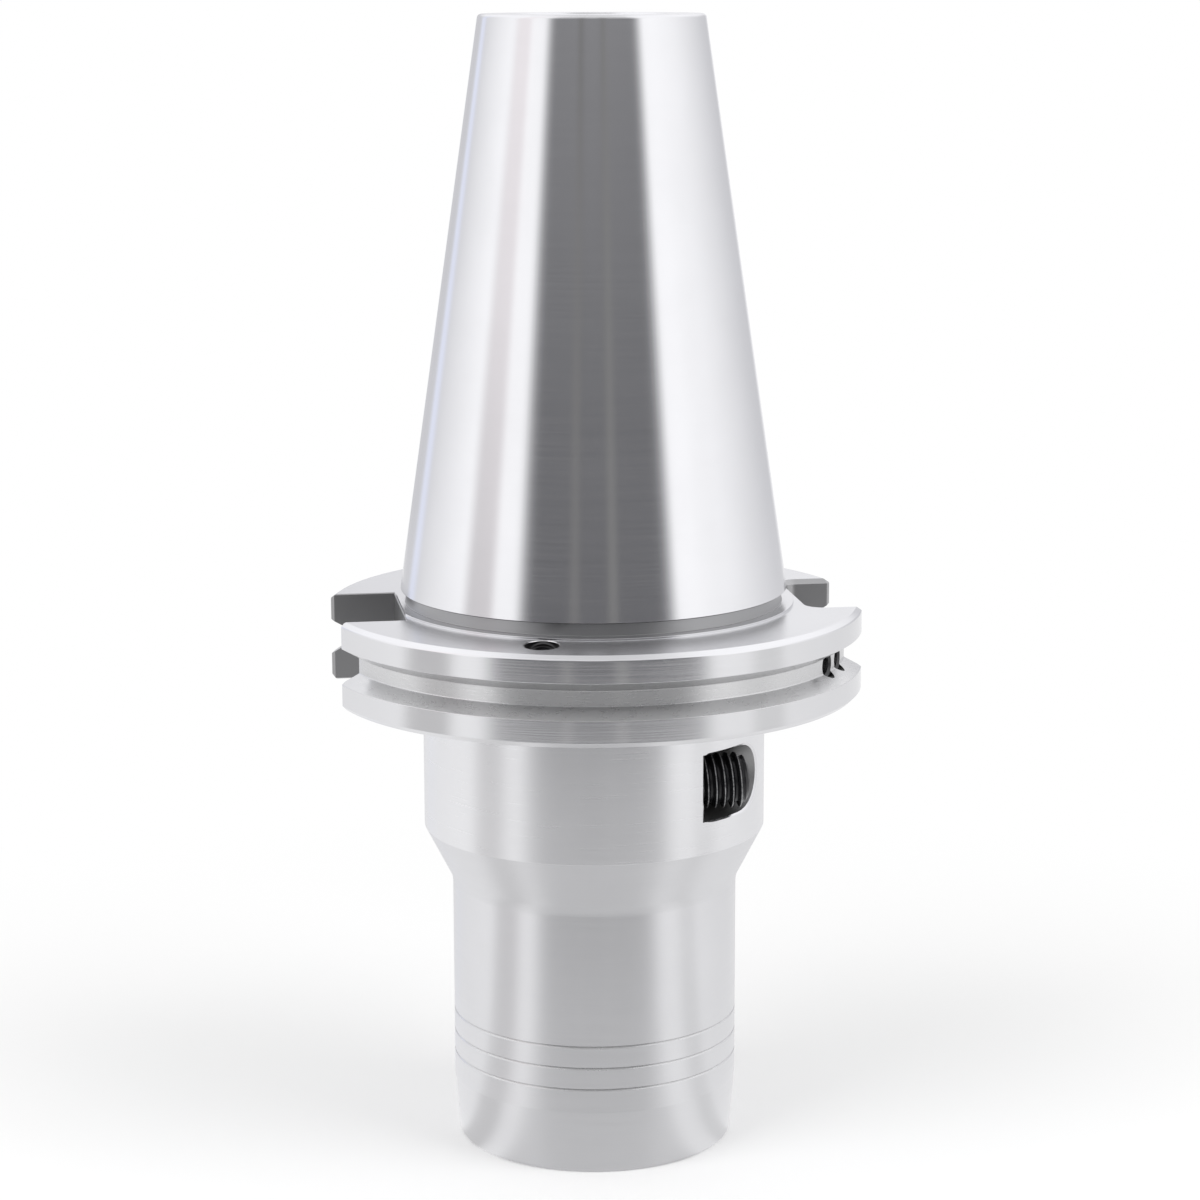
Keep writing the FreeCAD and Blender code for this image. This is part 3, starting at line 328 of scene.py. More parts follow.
# Soft panels of the studio as polished metal sees them, in the order they are laid over
# each other: name, azimuth from the camera's side, half width, softness of its sides,
# lowest and highest elevation, softness of those, and brightness for red, green and blue.
# Angles are in degrees.
PANELS = (
    ("walls", 180, 200, 1, -90, 90, 1, (1.38, 1.38, 1.39)),
    ("left wall", -95, 40, 20, -90, 90, 1, (1.45, 1.45, 1.46)),
    ("back wall", 180, 62, 60, -90, 90, 1, (0.66, 0.66, 0.69)),
    ("back middle", 174, 10, 6, -90, 90, 1, (0.97, 0.97, 0.99)),
    ("upper back", 180, 60, 30, 15, 60, 6, (1.15, 1.15, 1.17)),
    ("cool strip", -137, 5, 4, -90, 90, 1, (1.00, 1.04, 1.20)),
    ("left upper lights", -100, 55, 20, 27, 75, 12, (1.35, 1.35, 1.37)),
    ("right upper lights", 100, 55, 20, 27, 75, 12, (1.35, 1.35, 1.37)),
    ("ceiling", 0, 200, 1, 72, 90, 8, (0.88, 0.88, 0.89)),
    ("left gap", -71, 9, 5, -90, 90, 1, (1.28, 1.22, 1.24)),
    ("left stand", -71, 10, 5, -90, 4, 5, (0.62, 0.61, 0.62)),
    # the foot panels lie below the horizon, where the floor's painted reflection reads them as dark
    # patches
    ("left foot", -70, 12, 5, -90, -8, 3, (0.02, 0.02, 0.02)),
    ("right foot", 75, 8, 4, -90, -8, 3, (0.22, 0.22, 0.22)),
    ("left strip", -53, 6, 4, -90, 90, 1, (1.34, 1.34, 1.35)),
    ("camera side", 2, 45, 7, -90, 60, 12, (0.66, 0.66, 0.67)),
    ("middle camera side", 2, 43, 7, -90, 21, 9, (0.21, 0.21, 0.22)),
    ("lower camera side", 2, 42, 8, -90, 8, 7, (0.12, 0.12, 0.13)),
    ("floor in front", 2, 45, 8, -90, -40, 10, (0.68, 0.68, 0.69)),
    ("left tripod", -11, 2.5, 2.5, -40, 50, 9, (0.245, 0.242, 0.242)),
    ("right tripod", 11.5, 2.5, 2.5, -40, 50, 9, (0.27, 0.268, 0.265)),
)

# Marks that each way of finishing leaves on steel: colour, roughness, how much its
# reflection is drawn out across the marks, spacing and length of the marks in metres,
# their depth in the shading and how much the roughness varies.
FINISHES = {
    "ground": ("steel", 0.19, 0.90, 0.00016, 0.020, 0.015, 0.02),
    "turned_body": ("body", 0.30, 0.50, 0.00030, 0.020, 0.03, 0.04),
    "turned_nose": ("steel", 0.32, 0.80, 0.00030, 0.020, 0.05, 0.04),
    "turned_cone": ("steel", 0.36, 0.70, 0.00030, 0.020, 0.06, 0.04),
    "turned_rim": ("steel", 0.165, 0.84, 0.00024, 0.020, 0.035, 0.03),
    "turned_groove": ("grooved", 0.30, 0.78, 0.00020, 0.0020, 0.08, 0.06),
    "faced": ("steel", 0.23, 0.70, 0.00030, 0.020, 0.03, 0.03),
    "chamfered": ("steel", 0.20, 0.50, 0.00030, 0.020, 0.03, 0.03),
    # the neck, the milled walls, the drillings and the pocket take the darker colours, partly painted
    # shade of these recesses and of the undercut neck
    "turned_neck": ("milled", 0.40, 0.50, 0.00030, 0.020, 0.05, 0.05),
    "milled": ("milled", 0.34, 0.0, 0.00040, 0.0004, 0.01, 0.02),
    "pocket": ("pocket", 0.52, 0.0, 0.00030, 0.0003, 0.02, 0.03),
    # port finish: painted shade inside holes and under the taper's edge
    "port": ("port", 0.34, 0.0, 0.00030, 0.010, 0.08, 0.05),
    "drilled": ("milled", 0.34, 0.3, 0.00030, 0.010, 0.08, 0.08),
    "ground_bore": ("bore", 0.22, 0.85, 0.00016, 0.020, 0.03, 0.03),
}
FINISH_ORDER = tuple(FINISHES) + ("oxide",)

# Small inner parts: colour, share of metal, lowest and highest roughness, fineness of the
# grain and its depth in the shading.
PLAIN_FINISHES = {
    "rubber": ("rubber", 0.0, 0.42, 0.55, 1800.0, 0.15),
    "backup_plastic": ("plastic", 0.0, 0.32, 0.42, 900.0, 0.05),
    "polished_ball": ("ball", 1.0, 0.05, 0.09, 1200.0, 0.01),
}

# Straight or rounded stretches of outlines, by number: every face that was turned or
# drawn from one keeps its number through the cuts, and takes its exact normals from it.
runs = []


def settings(group):
    """Property group of the scene, by its short name."""
    return getattr(bpy.context.scene, f"chuck_{group}")


def rounded_outline(outline, closed=True):
    """Stretches (start, end, normal at start, normal at end, finish) along an outline.

    The outline lists its corners as (across, along) or (across, along, rounding). The name
    of a finish stands before the first corner whose leaving stretch has it. The metal lies
    on the left of the way along the outline.
    """
    corners, finish = [], "drilled"
    for entry in outline:
        if isinstance(entry, str):
            finish = entry
        else:
            corners.append((Vector(entry[:2]), (*entry[2:], 0.0)[0], finish))
    count = len(corners)
    points = [corner[0] for corner in corners]
    ways = [(points[(i + 1) % count] - points[i]).normalized() for i in range(count)]
    outs = [Vector((way.y, -way.x)) for way in ways]
    arrivals, leaves, arcs = [], [], []
    for i, (point, radius, look) in enumerate(corners):
        if not closed and i in (0, count - 1):
            radius = 0.0
        turn = -ways[i - 1].angle_signed(ways[i], 0.0)
        reach = radius * math.tan(abs(turn) / 2)
        arrivals.append(point - ways[i - 1] * reach)
        leaves.append(point + ways[i] * reach)
        arc = []
        if reach > 0:
            side = math.copysign(radius, turn)
            centre = arrivals[i] - outs[i - 1] * side
            steps = max(2, math.ceil(abs(turn) / STEP_ANGLE))
            normals = [Matrix.Rotation(turn * k / steps, 2) @ outs[i - 1] for k in range(steps + 1)]
            arc = [(centre + a * side, centre + b * side, a, b, look)
                   for a, b in zip(normals, normals[1:])]
        arcs.append(arc)
    stretches = []
    for i in range(count if closed else count - 1):
        stretches += arcs[i]
        stretches.append((leaves[i], arrivals[(i + 1) % count], outs[i], outs[i], corners[i][2]))
    return stretches


def register_run(kind, place, stretch):
    """Note a stretch and the place of its mesh, and give its number."""
    runs.append((kind, place.inverted(), place.to_3x3(), *stretch[:4]))
    return len(runs)


def start_mesh():
    """Empty bmesh with layers for the run and the finish of each face."""
    bm = bmesh.new()
    return bm, bm.faces.layers.int.new("run"), bm.faces.layers.int.new("finish")


def new_piece(name, bm):
    """Object in the scene from a finished bmesh."""
    mesh = bpy.data.meshes.new(name)
    bm.to_mesh(mesh)
    bm.free()
    piece = bpy.data.objects.new(name, mesh)
    bpy.context.scene.collection.objects.link(piece)
    return piece


def polar(radius, bearing, height):
    """Point at a radius, bearing and height."""
    return Vector((radius * math.cos(bearing), radius * math.sin(bearing), height))


def turned(name, outline, sides, closed=True, place=Matrix.Identity(4)):
    """Closed body of revolution about its own Z. An open outline begins and ends on Z."""
    bm, run_layer, finish_layer = start_mesh()
    stretches = rounded_outline(outline, closed)
    starts = [stretch[0] for stretch in stretches]
    if not closed:
        starts.append(stretches[-1][1])
    bearings = [(side + 0.5) * 2 * math.pi / sides for side in range(sides)]
    rings = [[bm.verts.new(place @ polar(radius, bearing, height)) for bearing in bearings]
             if radius > TOUCHING else [bm.verts.new(place @ Vector((0, 0, height)))] * sides
             for radius, height in starts]
    for i, stretch in enumerate(stretches):
        first, second = rings[i], rings[(i + 1) % len(rings)]
        run = register_run("turned", place, stretch)
        for side in range(sides):
            after = (side + 1) % sides
            around = [first[side], first[after], second[after], second[side]]
            face = bm.faces.new(list(dict.fromkeys(around)))
            face[run_layer] = run
            face[finish_layer] = FINISH_ORDER.index(stretch[4])
    return new_piece(name, bm)


def drawn(name, stretches, sections, finish="drilled", place=Matrix.Identity(4), edges=None):
    """Closed prism of an outline, through sections of (height, swell, shift).

    A height may be a function of the outline's point. Swell moves the outline outwards
    along its normals. Shift moves the whole section, and may be left out. Sides that slope
    get the finish named for edges, if there is one.
    """
    sections = [(*section, (0, 0))[:3] for section in sections]
    bm, run_layer, finish_layer = start_mesh()
    rings = []
    for height, swell, shift in sections:
        ring = []
        for i, stretch in enumerate(stretches):
            before, after = stretches[i - 1][3], stretch[2]
            outward = (before + after) / (1.0 + before.dot(after))
            point = (stretch[0] + outward * swell + Vector(shift)).to_3d()
            level = height(stretch[0]) if callable(height) else height
            ring.append(bm.verts.new(place @ point + place.to_3x3() @ Vector((0, 0, level))))
        rings.append(ring)
    for low, high, (_, low_swell, _), (_, high_swell, _) in zip(
            rings, rings[1:], sections, sections[1:]):
        straight = abs(low_swell - high_swell) < TOUCHING
        for i, stretch in enumerate(stretches):
            after = (i + 1) % len(stretches)
            face = bm.faces.new([low[i], low[after], high[after], high[i]])
            face[run_layer] = register_run("drawn", place, stretch) if straight else 0
            face[finish_layer] = FINISH_ORDER.index(finish if straight else edges or finish)
    for cap in (rings[0][::-1], rings[-1]):
        bm.faces.new(cap)[finish_layer] = FINISH_ORDER.index(finish)
    return new_piece(name, bm)


def threaded(name, diameter, pitch, start, end, lead, finish, sides, place, drop=0.0):
    """Closed rod about its own Z with a right-hand thread from start to end.

    The thread's phase is counted from the origin of its place. Lead is the length of the
    chamfer at both ends. It takes at least the thread's depth off the radius, and drop
    where that is more.
    """
    radius, rows = diameter / 2, len(THREAD_SHAPE)
    root = radius - THREAD_DEPTH * pitch
    end_radius = min(root, radius - lead, radius - drop)
    slope = (radius - end_radius) / lead
    bm, _, finish_layer = start_mesh()
    crest_layer = bm.verts.layers.float.new("crest")
    first = math.floor(start / pitch) - 1
    turns = math.ceil(end / pitch) + 1 - first
    grid = []
    for row in range(turns * rows + rows):
        share, rise = THREAD_SHAPE[row % rows]
        line = []
        for side in range(sides):
            level = (first + row // rows + share + side / sides) * pitch
            held = min(max(level, start), end)
            limit = end_radius + min(held - start, end - held) * slope
            size = min(root + rise * pitch, limit)
            vert = bm.verts.new(place @ polar(size, 2 * math.pi * side / sides, held))
            vert[crest_layer] = (size - root) / (radius - root)
            line.append(vert)
        grid.append(line)
    for row in range(turns * rows):
        for side in range(sides):
            low, after = (row, side + 1) if side + 1 < sides else (row + rows, 0)
            if low + 1 < len(grid):
                bm.faces.new([grid[row][side], grid[low][after], grid[low + 1][after],
                              grid[row + 1][side]])
    bmesh.ops.remove_doubles(bm, verts=bm.verts, dist=MERGING)
    bmesh.ops.dissolve_degenerate(bm, edges=bm.edges, dist=MERGING)
    bmesh.ops.holes_fill(bm, edges=[edge for edge in bm.edges if edge.is_boundary], sides=0)
    bmesh.ops.recalc_face_normals(bm, faces=bm.faces)
    for face in bm.faces:
        face[finish_layer] = FINISH_ORDER.index(finish)
    return new_piece(name, bm)


def combine(piece, others, operation="DIFFERENCE"):
    """Join or cut a piece with other meshes in one boolean, and delete them."""
    group = bpy.data.collections.new("operands")
    bpy.context.scene.collection.children.link(group)
    for other in others:
        bpy.context.scene.collection.objects.unlink(other)
        group.objects.link(other)
    modifier = piece.modifiers.new("boolean", "BOOLEAN")
    modifier.operand_type = "COLLECTION"
    modifier.collection = group
    modifier.solver = "MANIFOLD"
    modifier.operation = operation
    graph = bpy.context.evaluated_depsgraph_get()
    made = bpy.data.meshes.new_from_object(piece.evaluated_get(graph))
    if len(made.polygons) <= LEAST_LEFT * len(piece.data.polygons):
        raise RuntimeError(f"{piece.name}: the boolean left almost nothing")
    spent = [piece.data] + [other.data for other in others]
    piece.modifiers.clear()
    piece.data = made
    for mesh in spent:
        bpy.data.meshes.remove(mesh)
    bpy.data.collections.remove(group)


def aim(start, end):
    """Placement at start with its Z towards end."""
    turn = (end - start).to_track_quat("Z", "Y").to_matrix().to_4x4()
    return Matrix.Translation(start) @ turn


def drill(start, end, radius, finish="drilled", sides=CUTTER_SIDES):
    """Cutter for a round hole from start to end."""
    reach = (end - start).length
    return turned("drill", [finish, (0, 0), (radius, 0), (radius, reach), (0, reach)], sides,
                  False, aim(start, end))


def socket_cutters(width, depth, place):
    """Cutters for a hexagon socket sunk down from the origin of place."""
    corner = width / math.sqrt(3)
    mouth = corner + SOCKET_LEAD
    drop = (mouth - width / 2) * math.tan(math.radians(30))
    point = width / 2 - SOCKET_WALL
    hexagon = rounded_outline([polar(corner, k * math.pi / 3, 0)[:2] for k in range(6)])
    lead = ["oxide", (0, -drop), (width / 2, -drop), (mouth, 0), (mouth, BEYOND), (0, BEYOND)]
    drilled = ["oxide", (0, -depth - point * DRILL_POINT), (point, -depth),
               (point, -depth / 2), (0, -depth / 2)]
    return [drawn("socket", hexagon, [(-depth, 0.0), (BEYOND, 0.0)], "oxide", place),
            turned("socket_lead", lead, SOCKET_SIDES, False, place),
            turned("socket_point", drilled, SOCKET_SIDES, False, place)]


def read_all(items, attribute, width=1, kind=float):
    """One attribute of many items as an array, with a row for each item if it is a vector."""
    values = np.zeros(len(items) * width, kind)
    items.foreach_get(attribute, values)
    return values if width == 1 else values.reshape(-1, width)


def exact_normals(mesh, corner_faces, normals):
    """Overwrite the corner normals of turned and drawn faces with those of their outline."""
    corner_runs = read_all(mesh.attributes["run"].data, "value", kind=int)[corner_faces]
    corner_verts = read_all(mesh.loops, "vertex_index", kind=int)
    places = read_all(mesh.vertices, "co", 3)[corner_verts]
    face_normals = read_all(mesh.polygon_normals, "vector", 3)[corner_faces]
    order = np.argsort(corner_runs, kind="stable")
    numbers, firsts = np.unique(corner_runs[order], return_index=True)
    for run, chosen in zip(numbers, np.split(order, firsts[1:])):
        if run == 0:
            continue
        kind, inverse, turn, start, end, first, last = runs[run - 1]
        inverse = np.array(inverse)
        local = places[chosen] @ inverse[:3, :3].T + inverse[:3, 3]
        x, y, z = local.T
        radius = np.maximum(np.hypot(x, y), TOUCHING)
        across, along = (radius, z) if kind == "turned" else (x, y)
        way = np.array(end - start)
        share = (across - start.x) * way[0] + (along - start.y) * way[1]
        share = np.clip(share / max(way @ way, TOUCHING ** 2), 0, 1)[:, None]
        flat = np.array(first) * (1 - share) + np.array(last) * share
        out, up = (flat / np.linalg.norm(flat, axis=1)[:, None]).T
        if kind == "turned":
            made = np.stack([out * x / radius, out * y / radius, up], axis=1)
        else:
            made = np.stack([out, up, np.zeros(len(flat))], axis=1)
        made = made @ np.array(turn).T
        facing = np.sum(made * face_normals[chosen], axis=1)
        made[facing < 0] *= -1
        sure = np.abs(facing) > LEAST_FACING
        normals[chosen] = np.where(sure[:, None], made, normals[chosen])


def finish_piece(piece, body, node):
    """Materials and normals of a piece, its body, and the hiding of the node that it replaces."""
    mesh = piece.data
    finishes = read_all(mesh.attributes["finish"].data, "value", kind=int)
    used = np.unique(finishes)
    mesh.materials.clear()
    for index in used:
        mesh.materials.append(material(FINISH_ORDER[index]))
    mesh.polygons.foreach_set("material_index", np.searchsorted(used, finishes).astype(np.int32))
    mesh.shade_smooth()
    mesh.set_sharp_from_angle(angle=SMOOTH_ANGLE)
    normals = read_all(mesh.corner_normals, "vector", 3)
    sizes = read_all(mesh.polygons, "loop_total", kind=int)
    exact_normals(mesh, np.repeat(np.arange(len(sizes)), sizes), normals)
    mesh.normals_split_custom_set(normals.tolist())
    for name in ("run", "finish"):
        mesh.attributes.remove(mesh.attributes[name])
    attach(piece, body)
    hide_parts(node)


def give_inputs(tree, node, inputs):
    """Set inputs of a node to values or link them to sockets."""
    for name, source in inputs.items():
        if isinstance(source, bpy.types.NodeSocket):
            tree.links.new(source, node.inputs[name])
        else:
            node.inputs[name].default_value = source


def add_node(tree, kind, inputs=None, **options):
    """Node with its options set and its inputs given as values or sockets."""
    node = tree.nodes.new(kind)
    for name, option in options.items():
        setattr(node, name, option)
    give_inputs(tree, node, inputs or {})
    return node


def result(tree, kind, inputs=None, output=0, **options):
    """One output of a new node."""
    return add_node(tree, kind, inputs, **options).outputs[output]


def calculate(tree, operation, *sources):
    """Output of a math node."""
    return result(tree, "ShaderNodeMath", dict(enumerate(sources)), operation=operation)


def measure(tree, operation, output, *sources):
    """One output of a vector math node."""
    return result(tree, "ShaderNodeVectorMath", dict(enumerate(sources)), output,
                  operation=operation)


def remap(tree, source, span, new_span=RISE, kind="LINEAR"):
    """Output of a map range node, from one span to another."""
    return result(tree, "ShaderNodeMapRange", {
        "Value": source, "From Min": span[0], "From Max": span[1],
        "To Min": new_span[0], "To Max": new_span[1]}, interpolation_type=kind)


def mixed(tree, factor, first, second, label=""):
    """Colour between two colours."""
    return result(tree, "ShaderNodeMix", {"Factor": factor, "A": first, "B": second}, "Result",
                  data_type="RGBA", label=label)


def mixed_shaders(tree, factor, first, second):
    """Shader between two shaders."""
    return result(tree, "ShaderNodeMixShader", {0: factor, 1: first, 2: second})


def object_place(tree):
    """Place on the object, in metres."""
    return result(tree, "ShaderNodeTexCoord", output="Object")


def noise(tree, place, scale, detail=3.0, roughness=0.5):
    """Noise from 0 to 1."""
    return result(tree, "ShaderNodeTexNoise", {
        "Vector": place, "Scale": scale, "Detail": detail, "Roughness": roughness})


def relief(tree, height, strength, distance=GRAIN_DEPTH):
    """Normal of a surface with a fine relief."""
    return result(tree, "ShaderNodeBump", {
        "Height": height, "Strength": strength, "Distance": distance})


def new_material(name):
    """Empty node material and its principled shader, joined to the output."""
    made = bpy.data.materials.new(name)
    made.use_nodes = True
    tree = made.node_tree
    tree.nodes.clear()
    shader = add_node(tree, "ShaderNodeBsdfPrincipled")
    add_node(tree, "ShaderNodeOutputMaterial", {"Surface": shader.outputs[0]})
    return made, tree, shader


def marks_round_axis(tree, spacing, stretch):
    """Streaks round the axis, their spacing and length given, from 0 to 1."""
    x, y, z = add_node(tree, "ShaderNodeSeparateXYZ", {0: object_place(tree)}).outputs
    radius = measure(tree, "LENGTH", "Value", result(tree, "ShaderNodeCombineXYZ", {0: x, 1: y}))
    streaks = result(tree, "ShaderNodeCombineXYZ", {
        0: calculate(tree, "DIVIDE", x, stretch), 1: calculate(tree, "DIVIDE", y, stretch),
        2: calculate(tree, "DIVIDE", calculate(tree, "ADD", z, radius), spacing)})
    return noise(tree, streaks, scale=1.0, roughness=0.6)


def tinted(tree, shade, darker, factor):
    """Colour of the settings, darker where the factor is low."""
    base = Vector(getattr(settings("finishes"), shade))
    return mixed(tree, factor, (*(base * darker), 1.0), (*base, 1.0))


def steel(name):
    """Steel with one of the finishes."""
    shade, roughness, drawn_out, spacing, stretch, depth, variation = FINISHES[name]
    made, tree, shader = new_material(f"steel_{name}")
    marks = marks_round_axis(tree, spacing, stretch)
    clouds = noise(tree, object_place(tree), CLOUD_SCALE, detail=4.0, roughness=0.55)
    give_inputs(tree, shader, {
        "Base Color": tinted(tree, shade, CLOUD_SHADE, remap(tree, clouds, CLOUDS)),
        "Metallic": 1.0,
        "Roughness": remap(tree, marks, MARKS, (roughness - variation, roughness + variation)),
        "Normal": relief(tree, marks, depth, spacing)})
    if drawn_out:
        give_inputs(tree, shader, {
            "Anisotropic": drawn_out, "Anisotropic Rotation": 0.25,
            "Tangent": result(tree, "ShaderNodeTangent", direction_type="RADIAL", axis="Z")})
    return made


def oxide(name):
    """Blackened steel, lighter on the thread crests, partly rubbed and partly a painted highlight."""
    made, tree, shader = new_material(name)
    colours = settings("finishes")
    crest = result(tree, "ShaderNodeAttribute", output="Fac", attribute_name="crest")
    specks = noise(tree, object_place(tree), SPECK_SCALE)
    # lighter crests: partly wear, partly a painted highlight along them
    crest_wear_and_highlight = calculate(tree, "MULTIPLY", remap(tree, crest, CREST),
                     remap(tree, specks, SPECKS, (LEAST_WEAR_AND_HIGHLIGHT, 1.0)))
    give_inputs(tree, shader, {
        "Base Color": mixed(tree, crest_wear_and_highlight, (*colours.oxide, 1.0), (*colours.rubbed_and_highlit, 1.0)),
        "Metallic": 0.25, "Roughness": remap(tree, specks, GRAIN, OXIDE_ROUGHNESS),
        "Normal": relief(tree, specks, strength=0.08)})
    return made


def plain_finish(name):
    """Finish with a fine even grain, for small inner parts."""
    shade, metallic, smoothest, roughest, scale, depth = PLAIN_FINISHES[name]
    made, tree, shader = new_material(name)
    grain = noise(tree, object_place(tree), scale)
    give_inputs(tree, shader, {
        "Base Color": tinted(tree, shade, GRAIN_SHADE, grain), "Metallic": metallic,
        "Roughness": remap(tree, grain, GRAIN, (smoothest, roughest)),
        "Normal": relief(tree, grain, depth)})
    return made


def material(name):
    """Material by the name of its finish, made the first time it is asked for."""
    made = bpy.data.materials.get(f"steel_{name}" if name in FINISHES else name)
    if made:
        return made
    if name in FINISHES:
        return steel(name)
    return oxide(name) if name == "oxide" else plain_finish(name)


def flange_levels():
    """Heights of the flange's upper and lower face."""
    face = settings("shank").gauge_height - settings("flange").face_drop
    return face, face - settings("flange").thickness


def relief_top():
    """Height of the space behind the sleeve."""
    return SLEEVE_HIGH.z + settings("nose").relief_length


def core_radius(diameter, pitch):
    """Radius of the hole that a thread is tapped into."""
    return diameter / 2 - TAPPING_DEPTH * pitch


def nose_corners():
    """Outline from the sleeve seat out over the nose face and up to the flange."""
    nose = settings("nose")
    radius, half = nose.diameter / 2, nose.ring_width / 2
    outline = ["faced", (nose.seat_diameter / 2, 0, SEAT_EDGE),
               "turned_nose", (nose.tip_diameter / 2, 0, nose.tip_edge), (radius, nose.tip_taper)]
    for ring in range(nose.ring_count):
        height = nose.ring_height + ring * nose.ring_pitch
        outline += ["turned_groove", (radius, height - half, RING_EDGE),
                    (radius - nose.ring_depth, height, RING_FLOOR),
                    "turned_nose", (radius, height + half, RING_EDGE)]
    return outline + [
        "turned_cone", (radius, nose.body_edge - nose.cone_length, nose.cone_root),
        "turned_body", (nose.body_diameter / 2, nose.body_edge, BODY_EDGE),
        "faced", (nose.body_diameter / 2, flange_levels()[1], settings("flange").root_radius)]


def flange_corners():
    """Outline round the flange, from under it to the foot of the neck."""
    shank, flange = settings("shank"), settings("flange")
    face, bottom = flange_levels()
    radius, collar = flange.diameter / 2, shank.collar_diameter / 2
    middle = shank.gauge_height - flange.vee_drop
    floor = flange.vee_floor / 2
    mouth = floor + flange.vee_depth * math.tan(flange.vee_angle)
    return [
        "chamfered", (radius - flange.lower_chamfer, bottom, FLANGE_EDGE),
        "turned_rim", (radius, bottom + flange.lower_chamfer, FLANGE_EDGE),
        "turned_groove", (radius, middle - mouth, FLANGE_EDGE),
        (radius - flange.vee_depth, middle - floor, INNER_CORNER),
        (radius - flange.vee_depth, middle + floor, INNER_CORNER),
        "turned_rim", (radius, middle + mouth, FLANGE_EDGE),
        "chamfered", (radius, face - flange.rim_height, flange.rim_rounding),
        "faced", (radius - flange.rim_width, face, FLANGE_EDGE),
        "chamfered", (collar, face, RING_EDGE),
        "faced", (collar, face + shank.collar_height, RING_FLOOR)]


def shank_corners():
    """Outline up the neck and the taper and down the drawbar end's bores."""
    shank = settings("shank")
    neck, pilot = shank.neck_diameter / 2, shank.pilot_diameter / 2
    large = (shank.gauge_diameter + shank.overrun * shank.taper) / 2
    small = (shank.gauge_diameter - (shank.height - shank.gauge_height) * shank.taper) / 2
    foot = shank.gauge_height - shank.overrun
    core = core_radius(shank.stud_diameter, shank.stud_pitch)
    lead = shank.stud_diameter / 2 + STUD_MOUTH
    pilot_end = shank.height - shank.pilot_depth
    return [
        "turned_neck", (neck, flange_levels()[0] + shank.collar_height, shank.neck_root),
        (neck, foot, BROKEN_EDGE),
        # the broken edge at the taper's large end takes the near-black port finish, a painted line of
        # shade under the taper
        "port", (large - shank.edge, foot, TAPER_EDGE),
        "ground", (large, foot + shank.edge, TAPER_EDGE),
        "faced", (small, shank.height, shank.end_radius),
        "chamfered", (pilot + shank.pilot_chamfer, shank.height, BROKEN_EDGE),
        "ground_bore", (pilot, shank.height - shank.pilot_chamfer, BROKEN_EDGE),
        "faced", (pilot, pilot_end),
        "chamfered", (lead, pilot_end),
        "drilled", (core, pilot_end - (lead - core)), (core, shank.height - shank.stud_depth)]


def bore_corners():
    """Outline down the coolant bore, the stop's bores and the sleeve seat."""
    shank, nose, screws = settings("shank"), settings("nose"), settings("screws")
    core = core_radius(screws.stop_diameter, screws.stop_pitch)
    coolant, spigot = shank.coolant_bore / 2, screws.spigot_diameter / 2
    top = relief_top()
    return [
        "drilled", (coolant, shank.height - shank.stud_depth, COOLANT_BORE_EDGE),
        (coolant, screws.stop_bore_end),
        "ground_bore", (spigot, screws.stop_bore_end),
        "drilled", (spigot, screws.stop_bore_step, BORE_EDGE), (core, screws.stop_bore_step),
        "chamfered", (core, top + RELIEF_LEAD),
        "drilled", (core + RELIEF_LEAD, top), (nose.relief_diameter / 2, top),
        (nose.relief_diameter / 2, SLEEVE_HIGH.z), (nose.seat_diameter / 2, SLEEVE_HIGH.z)]


def keyway_cutter(turn, floor, corner, edge):
    """Cutter for a keyway, turned from the +X side, with broken long edges."""
    flange = settings("flange")
    face, bottom = flange_levels()
    half = flange.keyway_width / 2
    rim = math.sqrt((flange.diameter / 2) ** 2 - half ** 2) - flange.keyway_mouth
    outside = rim + flange.keyway_mouth + BEYOND
    flared = half + flange.keyway_mouth + BEYOND
    outline = [(floor, half, corner), (floor, -half, corner), (rim, -half), (outside, -flared),
               (outside, flared), (rim, half)]
    levels = [(bottom - BEYOND, edge), (bottom, edge), (bottom + edge, 0.0), (face - edge, 0.0),
              (face, edge), (face + BEYOND, edge)]
    return drawn("keyway", rounded_outline(outline), levels, "milled",
                 Matrix.Rotation(turn, 4, "Z"))


def balance_cutters():
    """Cutters for the countersunk drillings in the floor of the gripper groove."""
    flange = settings("flange")
    height = settings("shank").gauge_height - flange.vee_drop
    floor, outside = flange.diameter / 2 - flange.vee_depth, flange.diameter / 2 + BEYOND
    radius, rim = flange.balance_diameter / 2, flange.balance_rim
    end = floor - flange.balance_depth
    outline = ["drilled", (0, end - radius * DRILL_POINT), (radius, end),
               # the countersink takes the near-black port finish, painted shade in the mouth of each
               # drilling
               "port", (radius, floor - rim), (radius + rim, floor), (radius + rim, outside),
               (0, outside)]
    made = []
    for index in range(flange.balance_count):
        bearing = flange.balance_azimuth + index * flange.balance_step
        place = aim(Vector((0, 0, height)), polar(1.0, bearing, height))
        made.append(turned("balance_hole", outline, CUTTER_SIDES, False, place))
    return made


def clamping_place(across):
    """Placement on the clamping screw's axis with Z along +X, at a place along X."""
    screws = settings("screws")
    return Matrix.Translation((across, -screws.offset, screws.height)) @ SIDEWAYS


